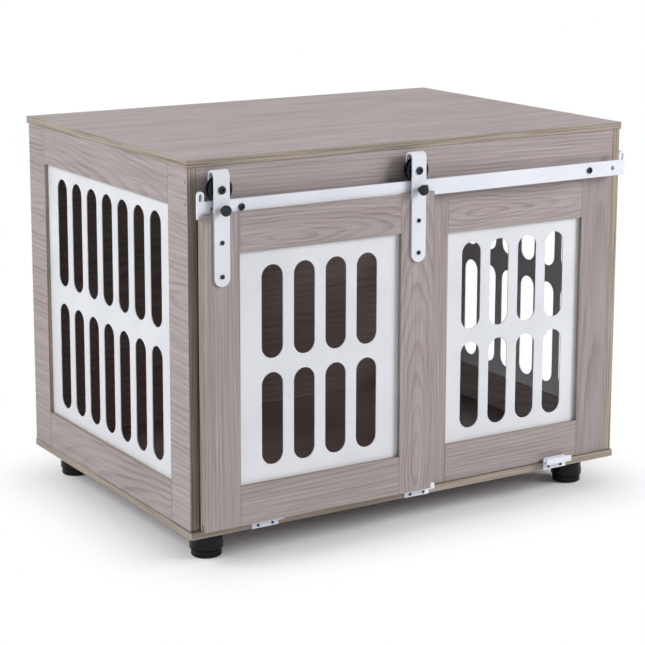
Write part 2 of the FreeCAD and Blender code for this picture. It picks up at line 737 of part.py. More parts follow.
# Side frames
for side_name, faces in (("left", (-side_face, -side_inner)), ("right", (side_inner, side_face))):
    frame = FramedPanel(
        side_name, "y", (front_face, rear_face), faces, (base_thickness, top_under),
        ("front_stile", "rear_stile"),
    )
    side_cuts = {
        "front_stile": header_screws[side_name]
        + [top_dowels[f"{side_name}_front_stile"], base_screws[f"{side_name}_front_stile"]],
        "rear_stile": [top_dowels[f"{side_name}_rear_stile"], base_screws[f"{side_name}_rear_stile"]],
        "top_rail": [top_dowels[f"{side_name}_rail"]],
        "bottom_rail": [base_screws[f"{side_name}_rail"]],
    }
    frame.build(side_row_gap, side_slot_margin, side_cuts)

# Back panel and header
back_blank = box(
    "back_blank",
    (-side_inner, rear_face - back_thickness, base_thickness),
    (side_inner, rear_face, top_under),
)
node(cut("back_panel", back_blank, [base_screws[key] for key in back_keys]), "back_panel")
header_blank = box(
    "header_blank",
    (-side_inner, front_face, header_foot),
    (side_inner, front_face + board_thickness, top_under),
)
header_tools = header_screws["left"] + header_screws["right"] + list(header_dowels.values())
header_tools += [top_dowels["header_left"], top_dowels["header_right"]] + list(bolt_blanks.values())
node(cut("header_rail", header_blank, header_tools), "header_rail")

# Fixed front frame
fixed_frame = FramedPanel(
    "fixed", "x", (fixed_left, side_inner), (front_face, front_face + board_thickness),
    (base_thickness, header_foot), ("left_stile", "right_stile"),
)
fixed_cuts = {
    name: [header_dowels[name], base_screws[f"fixed_{name}"]] for name in ("left_stile", "right_stile")
}
fixed_frame.build(front_row_gap, fixed_slot_margin, fixed_cuts)

# Strap screws, which also make their holes in the door
strap_places = {"left": left_strap_place, "right": right_strap_place}
strap_screws = {
    key: [
        raised_screw(
            f"strap_screw_{key}_{row}", strap_screw_diameter, strap_screw_head, strap_screw_head_height,
            strap_thickness + strap_screw_bite, (strap_x, strap_front, door_head - drop), TURN_TO_REAR,
        )
        for row, drop in (("high", strap_screw_high), ("low", strap_screw_low))
    ]
    for key, strap_x in strap_places.items()
}

# Sliding door, rebated behind its top edge for the bar and grooved below for the guides
door_rebate = box(
    "door_rebate",
    (door_left, door_front + door_lip, bar_bottom - door_rebate_gap),
    (door_right, door_front + board_thickness, door_head),
)
door_groove = box(
    "door_groove",
    (door_left, door_middle - door_groove_width / 2, door_foot),
    (door_right, door_middle + door_groove_width / 2, door_foot + door_groove_depth),
)
door_frame = FramedPanel(
    "door", "x", (door_left, door_right), (door_front, door_front + board_thickness),
    (door_foot, door_head), ("left_stile", "right_stile"),
)
door_cuts = {
    "left_stile": [door_rebate, door_groove] + strap_screws["left"],
    "right_stile": [door_rebate, door_groove] + strap_screws["right"],
    "top_rail": [door_rebate],
    "bottom_rail": [door_groove],
}
door_frame.build(front_row_gap, door_slot_margin, door_cuts)

# Track bar with its end tabs, spare holes and bolts
bar_pieces = [
    box("bar_blank", (-bar_end, bar_front, bar_bottom), (bar_end, bar_rear, bar_top)),
]
bar_tools = []
tab_round = bar_top + tab_height - tab_width / 2
for side_name, tab_x in (
    ("left", tab_width / 2 - bar_end),
    ("right", bar_end - tab_width / 2),
):
    half_slot = tab_slot_width / 2
    slot_low = bar_top + half_slot
    slot_high = bar_top + tab_slot_height - half_slot
    bar_pieces.append(
        box(
            f"tab_{side_name}",
            (tab_x - tab_width / 2, bar_front, bar_axis),
            (tab_x + tab_width / 2, bar_rear, tab_round),
        )
    )
    bar_pieces.append(
        rod(f"tab_end_{side_name}", tab_width, bar_thickness, (tab_x, bar_front, tab_round), TURN_TO_REAR)
    )
    bar_tools.append(
        box(
            f"tab_slot_{side_name}",
            (tab_x - half_slot, bar_front, slot_low),
            (tab_x + half_slot, bar_rear, slot_high),
        )
    )
    for end_name, end_z in (("low", slot_low), ("high", slot_high)):
        start = (tab_x, bar_front, end_z)
        bar_tools.append(
            rod(f"tab_slot_{side_name}_{end_name}", tab_slot_width, bar_thickness, start, TURN_TO_REAR)
        )
for side_name, hole_x in (("left", -bar_hole_reach), ("right", bar_hole_reach)):
    start = (hole_x, bar_front, bar_axis)
    bar_tools.append(rod(f"spare_hole_{side_name}", bar_hole_diameter, bar_thickness, start, TURN_TO_REAR))
bolt_bore = bolt_diameter + bolt_clearance * 2
for key, bolt_x in bolt_places.items():
    start = (bolt_x, bar_front, bar_axis)
    bar_tools.append(rod(f"bolt_hole_{key}", bolt_bore, bar_thickness, start, TURN_TO_REAR))
node(cut("track_bar", fuse("bar_body", bar_pieces), bar_tools), "track_bar")

spacers = []
for key, bolt_x in bolt_places.items():
    start = (bolt_x, bar_rear, bar_axis)
    spacer = rod(f"spacer_{key}", spacer_diameter, spacer_length, start, TURN_TO_REAR)
    bore = rod(f"spacer_{key}_bore", bolt_bore, spacer_length, start, TURN_TO_REAR)
    spacers.append(cut(f"spacer_{key}_bored", spacer, [bore]))
group("track_spacers", spacers)
group(
    "track_bolts",
    [
        socketed(
            f"track_bolt_{key}", blank, bolt_socket, bolt_socket_depth,
            (bolt_places[key], bar_front - bolt_head_height, bar_axis),
        )
        for key, blank in bolt_blanks.items()
    ],
)


def hanger_strap(side_name, strap_x):
    """A flat strap screwed to the door's face and bent over the wheel."""
    name = f"{side_name}_hanger_strap"
    half = strap_width / 2
    foot_round = door_head - strap_foot + half
    left = strap_x - half
    right = strap_x + half
    bend_outer = strap_gap + strap_thickness * 2
    front_leg = box(f"{name}_front_leg", (left, strap_front, foot_round), (right, door_front, crown_height))
    front_end = rod(
        f"{name}_front_end", strap_width, strap_thickness, (strap_x, strap_front, foot_round), TURN_TO_REAR
    )
    rear_leg = box(
        f"{name}_rear_leg", (left, strap_rear_inner, axle_height), (right, strap_rear, crown_height)
    )
    rear_end = rod(
        f"{name}_rear_end", strap_width, strap_thickness,
        (strap_x, strap_rear_inner, axle_height), TURN_TO_REAR,
    )
    bend = rod(f"{name}_bend", bend_outer, strap_width, (left, bar_middle, crown_height), TURN_TO_RIGHT)
    hollow = rod(f"{name}_hollow", strap_gap, strap_width, (left, bar_middle, crown_height), TURN_TO_RIGHT)
    below = box(
        f"{name}_below_bend",
        (left, strap_front, crown_height - bend_outer / 2),
        (right, strap_rear, crown_height),
    )
    arch = cut(f"{name}_arch", bend, [hollow, below])
    axle_bore = rod(
        f"{name}_axle_bore", bolt_bore, strap_rear - strap_front,
        (strap_x, strap_front, axle_height), TURN_TO_REAR,
    )
    lock_bore = rod(
        f"{name}_lock_bore", bolt_diameter + running_clearance * 2, strap_thickness,
        (strap_x, strap_front, bar_axis), TURN_TO_REAR,
    )
    blank = fuse(f"{name}_blank", [front_leg, front_end, rear_leg, rear_end, arch])
    return node(cut(name, blank, [axle_bore, lock_bore] + strap_screws[side_name]), name)


def wheel(side_name, strap_x):
    """A grooved wheel, turned about its axle from front to rear."""
    name = f"{side_name}_wheel"
    hub_width = strap_gap - wheel_side_gap * 2
    middle = hub_width / 2
    half_width = wheel_width / 2
    half_groove = bar_thickness / 2 + wheel_groove_play
    half_mouth = half_groove + wheel_groove_flare
    bore = sleeve_diameter / 2 + running_clearance
    hub = wheel_hub_diameter / 2
    rim = wheel_root + wheel_flange
    dish_edge = rim - wheel_rim
    low_dish = middle - half_width + wheel_dish
    high_dish = middle + half_width - wheel_dish
    profile = [
        (bore, 0), (hub, 0), (hub, low_dish), (dish_edge, low_dish),
        (dish_edge, middle - half_width), (rim, middle - half_width), (rim, middle - half_mouth),
        (wheel_root, middle - half_groove), (wheel_root, middle + half_groove),
        (rim, middle + half_mouth), (rim, middle + half_width), (dish_edge, middle + half_width),
        (dish_edge, high_dish), (hub, high_dish), (hub, hub_width), (bore, hub_width),
    ]
    return node(turned(name, profile), name, (strap_x, bar_middle + middle, axle_height), TURN_TO_FRONT)


def lock_stud(side_name, strap_x):
    """The threaded stud of a lock knob, through the strap towards the bar."""
    name = f"{side_name}_lock_stud"
    tip = bar_front - lock_tip_gap
    stud_end = knob_face + knob_skin
    item = rod(name, bolt_diameter, tip - stud_end, (0, 0, 0), TURN_UP)
    return node(item, name, (strap_x, stud_end, bar_axis), TURN_TO_REAR)


# Steps of the knob's domed face: shares of the grip's radius, and of the dome's rise below the face
KNOB_DOME_STEPS = ((1.0, 1.0), (0.97, 0.70), (0.90, 0.41), (0.78, 0.18), (0.60, 0.05), (0.40, 0.0))


def lock_knob(side_name, strap_x):
    """A fluted knob on its stud, turned from its neck to its front face."""
    name = f"{side_name}_lock_knob"
    bore = bolt_diameter / 2 + running_clearance
    neck = knob_neck_diameter / 2
    grip = knob_diameter / 2
    face = knob_neck_height + knob_height
    bore_end = face - knob_skin
    profile = [
        (bore, 0), (neck, 0), (neck, knob_neck_height), (grip - knob_edge, knob_neck_height),
        (grip, knob_neck_height + knob_edge),
    ]
    profile += [(grip * out, face - knob_dome * down) for out, down in KNOB_DOME_STEPS]
    profile += [(0, face), (0, bore_end), (bore, bore_end)]
    body = turned(name, profile)
    flute = new_sketch(body, f"{name}_flute", "XY_Plane")
    flute_radius = knob_flute_width / 2
    flute_place = grip + flute_radius - knob_flute_depth
    circle = Part.Circle(Vector(flute_place.value, 0, 0), Vector(0, 0, 1), flute_radius.value)
    flute.addGeometry(circle, False)
    pin_point(flute, 0, 3, (flute_place, 0))
    index = flute.addConstraint(Sketcher.Constraint("Radius", 0, flute_radius.value))
    flute.setExpression(f"Constraints[{index}]", flute_radius.text)
    pocket = body.newObject("PartDesign::Pocket", f"{name}_first_flute")
    pocket.Profile = flute
    pocket.SideType = "Symmetric"
    bind(pocket, "Length", face * 2 + knob_edge)
    flutes = body.newObject("PartDesign::PolarPattern", f"{name}_flutes")
    flutes.Originals = [pocket]
    flutes.Axis = (flute, ["N_Axis"])
    flutes.Angle = 360
    bind(flutes, "Occurrences", knob_flute_count)
    body.Tip = flutes
    return node(body, name, (strap_x, knob_face + face, bar_axis), TURN_TO_FRONT)


# Hangers, axles, wheels and locks
axle_blanks = []
axle_sleeves = []
axle_nuts = []
axle_length = strap_rear - strap_front + nut_height + axle_end
for side_name, strap_x in strap_places.items():
    hanger_strap(side_name, strap_x)
    wheel(side_name, strap_x)
    lock_stud(side_name, strap_x)
    lock_knob(side_name, strap_x)
    blank = raised_screw(
        f"axle_bolt_{side_name}", bolt_diameter, axle_head_diameter, bolt_head_height, axle_length,
        (strap_x, strap_front, axle_height), TURN_TO_REAR,
    )
    axle_blanks.append(
        socketed(
            f"axle_bolt_{side_name}", blank, bolt_socket, bolt_socket_depth,
            (strap_x, strap_front - bolt_head_height, axle_height),
        )
    )
    sleeve_start = (strap_x, door_front, axle_height)
    sleeve = rod(f"sleeve_{side_name}", sleeve_diameter, strap_gap, sleeve_start, TURN_TO_REAR)
    sleeve_bore = rod(f"sleeve_{side_name}_bore", bolt_bore, strap_gap, sleeve_start, TURN_TO_REAR)
    axle_sleeves.append(cut(f"sleeve_{side_name}_bored", sleeve, [sleeve_bore]))
    nut_start = (strap_x, strap_rear, axle_height)
    nut = hexagon(f"nut_{side_name}", nut_flats, nut_height, nut_start, TURN_TO_REAR)
    nut_bore = rod(f"nut_{side_name}_bore", bolt_diameter, nut_height, nut_start, TURN_TO_REAR)
    axle_nuts.append(cut(f"nut_{side_name}_bored", nut, [nut_bore]))
group("axle_bolts", axle_blanks)
group("axle_sleeves", axle_sleeves)
group("axle_nuts", axle_nuts)
group("strap_screws", [screw for pair in strap_screws.values() for screw in pair])

# Bottom guides: a back plate on the base's front edge, a shelf and an upright lip
for key, guide_x in guide_places.items():
    label = f"{key}_bottom_guide"
    plate_front = base_front - guide_sheet
    shelf_top = base_thickness + guide_sheet
    lip_front = door_middle - guide_sheet / 2
    lip_rear = door_middle + guide_sheet / 2
    half = guide_width / 2
    half_lip = guide_lip_width / 2
    plate = crowned_plate(
        f"{label}_plate",
        (guide_x - half, plate_front, 0),
        (guide_x + half, base_front, guide_height),
        guide_corner,
    )
    shelf = box(
        f"{label}_shelf",
        (guide_x - half, lip_front, base_thickness),
        (guide_x + half, plate_front, shelf_top),
    )
    lip = crowned_plate(
        f"{label}_lip",
        (guide_x - half_lip, lip_front, base_thickness),
        (guide_x + half_lip, lip_rear, shelf_top + guide_lip_height),
        guide_lip_corner,
    )
    bracket = fuse(f"{label}_blank", [plate, shelf, lip])
    node(cut(label, bracket, guide_screws[key]), label)
group("guide_screws", [screw for pair in guide_screws.values() for screw in pair])

# Feet: turned, with a collar, two ring grooves and a screw well in the sole
for key, (foot_x, foot_y) in foot_places.items():
    label = f"{key}_foot"
    well = foot_well_diameter / 2
    shank = foot_screw_diameter / 2
    sole = foot_sole_diameter / 2
    well_end = foot_height - foot_floor
    collar = foot_collar_diameter / 2
    collar_low = foot_ring_rise + foot_ring_pitch + foot_ring_width + foot_collar_lead
    collar_high = collar_low + foot_collar_height
    profile = [(well, 0), (sole - foot_sole_edge, 0), (sole, foot_sole_edge)]
    for ring in range(2):
        low = foot_ring_rise + foot_ring_pitch * ring
        high = low + foot_ring_width
        profile += [
            (sole, low), (sole - foot_ring_depth, low), (sole - foot_ring_depth, high), (sole, high),
        ]
    profile += [
        (collar, collar_low), (collar, collar_high),
        (foot_top_diameter / 2, collar_high + foot_collar_fade), (foot_top_diameter / 2, foot_height),
        (shank, foot_height), (shank, well_end), (well, well_end),
    ]
    node(turned(label, profile), label, (foot_x, foot_y, -foot_height))
group("foot_screws", list(foot_screws.values()))

group("header_screws", header_screws["left"] + header_screws["right"])
group("base_screws", list(base_screws.values()))
group("top_dowels", list(top_dowels.values()))
group("header_dowels", list(header_dowels.values()))

doc.recompute()

# Every object is sound before anything is written.
for item in doc.Objects:
    if "Invalid" in item.State or "Error" in item.State:
        raise RuntimeError(f"{item.Name} failed: {item.State} {item.getStatusString()}")
for item in nodes:
    if item.Shape.isNull() or not item.Shape.isValid() or item.Shape.Volume <= 0:
        raise RuntimeError(f"{item.Label} has no sound shape")
for item in nodes:
    if item.TypeId == "PartDesign::Body":
        features = [feature for feature in item.Group if feature.TypeId.startswith("PartDesign::")]
        first = features[0].Shape.Volume
        if len(features) > 1 and item.Shape.Volume >= first:
            raise RuntimeError(f"{item.Label} was not cut")

os.makedirs("parts", exist_ok=True)
for item in nodes:
    item.Shape.exportStep(f"parts/{item.Label}.step")
    box_of = item.Shape.BoundBox
    print(
        f"{item.Label}: {len(item.Shape.Solids)} solids, {item.Shape.Volume / 1000:.1f} cm3, "
        f"x {box_of.XMin:.1f} {box_of.XMax:.1f}, y {box_of.YMin:.1f} {box_of.YMax:.1f}, "
        f"z {box_of.ZMin:.1f} {box_of.ZMax:.1f}"
    )
print(len(nodes), "nodes")
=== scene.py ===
"""Looks, light and camera for a furniture-style pet crate with a sliding barn door."""

from __future__ import annotations

import logging
import math
from collections.abc import Mapping, Sequence
from dataclasses import dataclass, field
from enum import Enum

import bpy
from mathutils import Matrix, Vector


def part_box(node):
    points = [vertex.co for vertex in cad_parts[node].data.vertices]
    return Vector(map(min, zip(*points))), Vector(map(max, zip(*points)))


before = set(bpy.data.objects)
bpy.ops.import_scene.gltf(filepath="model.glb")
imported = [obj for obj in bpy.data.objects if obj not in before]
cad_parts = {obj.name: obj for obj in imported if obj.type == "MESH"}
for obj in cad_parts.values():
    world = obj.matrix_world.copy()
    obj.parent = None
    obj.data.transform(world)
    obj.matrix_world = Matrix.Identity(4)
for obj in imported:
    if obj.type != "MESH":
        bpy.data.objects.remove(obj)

log = logging.getLogger("pet_crate")

MM = 0.001
WHITE = (1.0, 1.0, 1.0, 1.0)
BLACK = (0.0, 0.0, 0.0, 1.0)
RESIN_IOR = 1.5

# Most of a noise pattern's values lie between these two.
NOISE_SPREAD = (0.3, 0.7)

# The step between two rings of a wave pattern at a scale of one, in metres.
WAVE_RING = math.pi / 10

# The places of a mix node's share and its two colours, and of the mix that comes out.
MIX_INPUTS = (0, 6, 7)
MIX_RESULT = 2

# How far a seed moves a pattern along, across and through a board.
STREAK_STEPS = (1.0, 1.7, 0.3)
WANDER_STEPS = (2.1, 1.0, 0.7)

# Points nearer than the weld are one point, faces that meet flatter than the flat fold are one
# face, and edges sharper than the sharp fold are rounded.
WELD_MM = 0.002
FLAT_FOLD = math.radians(0.5)
SHARP_FOLD = math.radians(40)

# The weight at which a corner's largest face sets how the corner is shaded.
LARGEST_FACE = 100

Colour = tuple[float, float, float, float]


class Axis(Enum):
    """The three directions of the crate: width, depth and height."""

    WIDTH = 0
    DEPTH = 1
    HEIGHT = 2


class Figure(Enum):
    """How the printed wood was sawn: lines that run straight, or nested arches."""

    QUARTER_SAWN = "straight"
    PLAIN_SAWN = "arches"


class End(Enum):
    """Which end of a direction is meant."""

    LOW = -1
    BOTH = 0
    HIGH = 1


class Side(Enum):
    """The two ends of the crate, as seen from the front."""

    LEFT = "left"
    RIGHT = "right"


def linear(colour: str, tone: float = 1.0) -> Colour:
    """Turn an sRGB hex colour into linear light.

    Args:
        colour: The colour as #RRGGBB.
        tone: A share by which the colour is lighter or darker than written.

    Returns:
        Linear red, green and blue with an alpha of one.
    """
    parts = [int(colour[i : i + 2], 16) / 255 for i in (1, 3, 5)]
    light = [c / 12.92 if c <= 0.04045 else ((c + 0.055) / 1.055) ** 2.4 for c in parts]
    return (light[0] * tone, light[1] * tone, light[2] * tone, 1.0)


def feed(
    tree: bpy.types.NodeTree, node: bpy.types.Node, inputs: Mapping[str | int, object]
) -> None:
    """Give a node's inputs their values and links.

    Args:
        tree: The tree that has the node.
        node: The node.
        inputs: For each input, the value it holds or the socket that feeds it.
    """
    for key, value in inputs.items():
        if isinstance(value, bpy.types.NodeSocket):
            tree.links.new(value, node.inputs[key])
        else:
            node.inputs[key].default_value = value


def add_node(
    tree: bpy.types.NodeTree,
    kind: str,
    inputs: Mapping[str | int, object] | None = None,
    stops: Sequence[tuple[float, Colour]] = (),
    **settings: object,
) -> bpy.types.Node:
    """Add one node with its settings, values and links.

    Args:
        tree: The material or world tree that gets the node.
        kind: Blender's own name for the node.
        inputs: For each input, the value it holds or the socket that feeds it.
        stops: Places and colours, for a node that has a colour ramp.
        **settings: The node's own options.

    Returns:
        The new node.
    """
    made = tree.nodes.new(kind)
    for option, value in settings.items():
        setattr(made, option, value)
    feed(tree, made, inputs or {})
    for index, (place, colour) in enumerate(stops):
        elements = made.color_ramp.elements
        stop = elements[index] if index < len(elements) else elements.new(place)
        stop.position = place
        stop.color = colour
    return made


def calculate(
    tree: bpy.types.NodeTree, operation: str, *values: bpy.types.NodeSocket | float
) -> bpy.types.NodeSocket:
    """Work out one number from others.

    Args:
        tree: The tree that gets the node.
        operation: Blender's own name for the sum.
        *values: The numbers, or the sockets that give them, in order.

    Returns:
        The result.
    """
    return add_node(tree, "ShaderNodeMath", dict(enumerate(values)), operation=operation).outputs[0]


def remap(
    tree: bpy.types.NodeTree,
    value: bpy.types.NodeSocket,
    source: tuple[float, float],
    target: tuple[float, float],
    curve: str = "LINEAR",
) -> bpy.types.NodeSocket:
    """Stretch one range of a value onto another, and hold it there.

    Args:
        tree: The tree that gets the node.
        value: The value that comes in.
        source: The range in which it comes in.
        target: The range onto which it is stretched.
        curve: Blender's own name for the way between the two ends.

    Returns:
        The stretched value.
    """
    ends = dict(enumerate((value, *source, *target)))
    return add_node(tree, "ShaderNodeMapRange", ends, interpolation_type=curve).outputs[0]


def mix_colours(
    tree: bpy.types.NodeTree,
    share: bpy.types.NodeSocket,
    first: bpy.types.NodeSocket | Colour,
    second: bpy.types.NodeSocket | Colour,
) -> bpy.types.NodeSocket:
    """Mix two colours.

    Args:
        tree: The tree that gets the node.
        share: How much of the second colour the mix has, from zero to one.
        first: The first colour.
        second: The second colour.

    Returns:
        The mix.
    """
    inputs = dict(zip(MIX_INPUTS, (share, first, second)))
    return add_node(tree, "ShaderNodeMix", inputs, data_type="RGBA").outputs[MIX_RESULT]


def colour_ramp(
    tree: bpy.types.NodeTree, value: bpy.types.NodeSocket, *stops: tuple[float, Colour]
) -> bpy.types.NodeSocket:
    """Turn a value into a colour.

    Args:
        tree: The tree that gets the node.
        value: The value, from zero to one.
        *stops: Values and the colours that they become.

    Returns:
        The colour.
    """
    return add_node(tree, "ShaderNodeValToRGB", {0: value}, stops).outputs[0]


def noise(
    tree: bpy.types.NodeTree, place: bpy.types.NodeSocket, size: float, detail: float
) -> bpy.types.NodeSocket:
    """Draw soft random patches.

    Args:
        tree: The tree that gets the node.
        place: The place on the piece.
        size: The patches' size in millimetres.
        detail: How many finer layers they hold.

    Returns:
        The patches, from zero to one.
    """
    inputs = {"Vector": place, "Scale": 1 / (size * MM), "Detail": detail}
    return add_node(tree, "ShaderNodeTexNoise", inputs).outputs[0]


def long_noise(
    tree: bpy.types.NodeTree,
    place: bpy.types.NodeSocket,
    shift: Sequence[float],
    sizes: Sequence[float],
    detail: float,
    roughness: float,
) -> bpy.types.NodeSocket:
    """Draw soft random patches that are longer one way than another.

    Args:
        tree: The tree that gets the nodes.
        place: The place on the piece.
        shift: Moves the patches, so that no two boards match.
        sizes: The patches' size in each direction, in millimetres.
        detail: How many finer layers they hold.
        roughness: How strong the finer layers are.

    Returns:
        The patches, from zero to one.
    """
    scale = [1 / (size * MM) for size in sizes]
    stretch = {"Vector": place, "Location": shift, "Scale": scale}
    scaled = add_node(tree, "ShaderNodeMapping", stretch)
    inputs = {"Vector": scaled.outputs[0], "Scale": 1.0, "Detail": detail, "Roughness": roughness}
    return add_node(tree, "ShaderNodeTexNoise", inputs).outputs[0]


def bump(
    tree: bpy.types.NodeTree,
    height: bpy.types.NodeSocket,
    strength: float,
    depth: float,
    invert: bool = False,
) -> bpy.types.NodeSocket:
    """Emboss a surface.

    Args:
        tree: The tree that gets the node.
        height: The pattern that is embossed.
        strength: How much of it is felt.
        depth: Its depth in millimetres.
        invert: Whether high values sink in.

    Returns:
        The direction that the embossed surface faces.
    """
    inputs = {"Height": height, "Strength": strength, "Distance": depth * MM}
    return add_node(tree, "ShaderNodeBump", inputs, invert=invert).outputs[0]


def new_material(name: str) -> tuple[bpy.types.Material, bpy.types.Node]:
    """Start a material that holds one principled shader.

    Args:
        name: The material's name.

    Returns:
        The material and its shader.
    """
    material = bpy.data.materials.new(name)
    material.use_nodes = True
    tree = material.node_tree
    tree.nodes.clear()
    shader = add_node(tree, "ShaderNodeBsdfPrincipled")
    add_node(tree, "ShaderNodeOutputMaterial", {"Surface": shader.outputs[0]})
    return material, shader


@dataclass(frozen=True)
class RingPrint:
    """How growth rings look after one way of sawing.

    Lengths are in millimetres. The wander is a slow wave that bends the rings, and its
    three lengths are along the grain, across it and through the board.
    """

    bend: float
    wander: tuple[float, float, float]
    tilt: float
    rise: float
    distortion: float
    distortion_scale: float


RING_PRINTS = {
    Figure.PLAIN_SAWN: RingPrint(
        bend=26.0,
        wander=(160.0, 60.0, 60.0),
        tilt=0.13,
        rise=0.0,
        distortion=3.4,
        distortion_scale=0.7,
    ),
    Figure.QUARTER_SAWN: RingPrint(
        bend=15.0,
        wander=(300.0, 50.0, 50.0),
        tilt=0.03,
        rise=60.0,
        distortion=2.4,
        distortion_scale=0.45,
    ),
}


@dataclass(frozen=True)
class BoardCut:
    """How the printed sheet lies on one board.

    Lengths are in millimetres. The heart is the middle of the arches, along the grain
    and across it, in the crate's own frame. On the face that looks into the cabin, a
    board can be drawn with a darker brown backing sheet whose darkness is partly painted
    shade for the dim cabin. The seams are the edges that meet another board with a thin dark gap.
    """

    grain: Axis
    across: Axis
    thick: Axis
    figure: Figure
    heart: tuple[float, float]
    seed: float
    tone: float = 1.0
    ring: float = 6.5
    lines: float = 0.22
    coarse: float = 1.0
    shaded_backing_face: End | None = None
    seams: tuple[tuple[Axis, End], ...] = ()


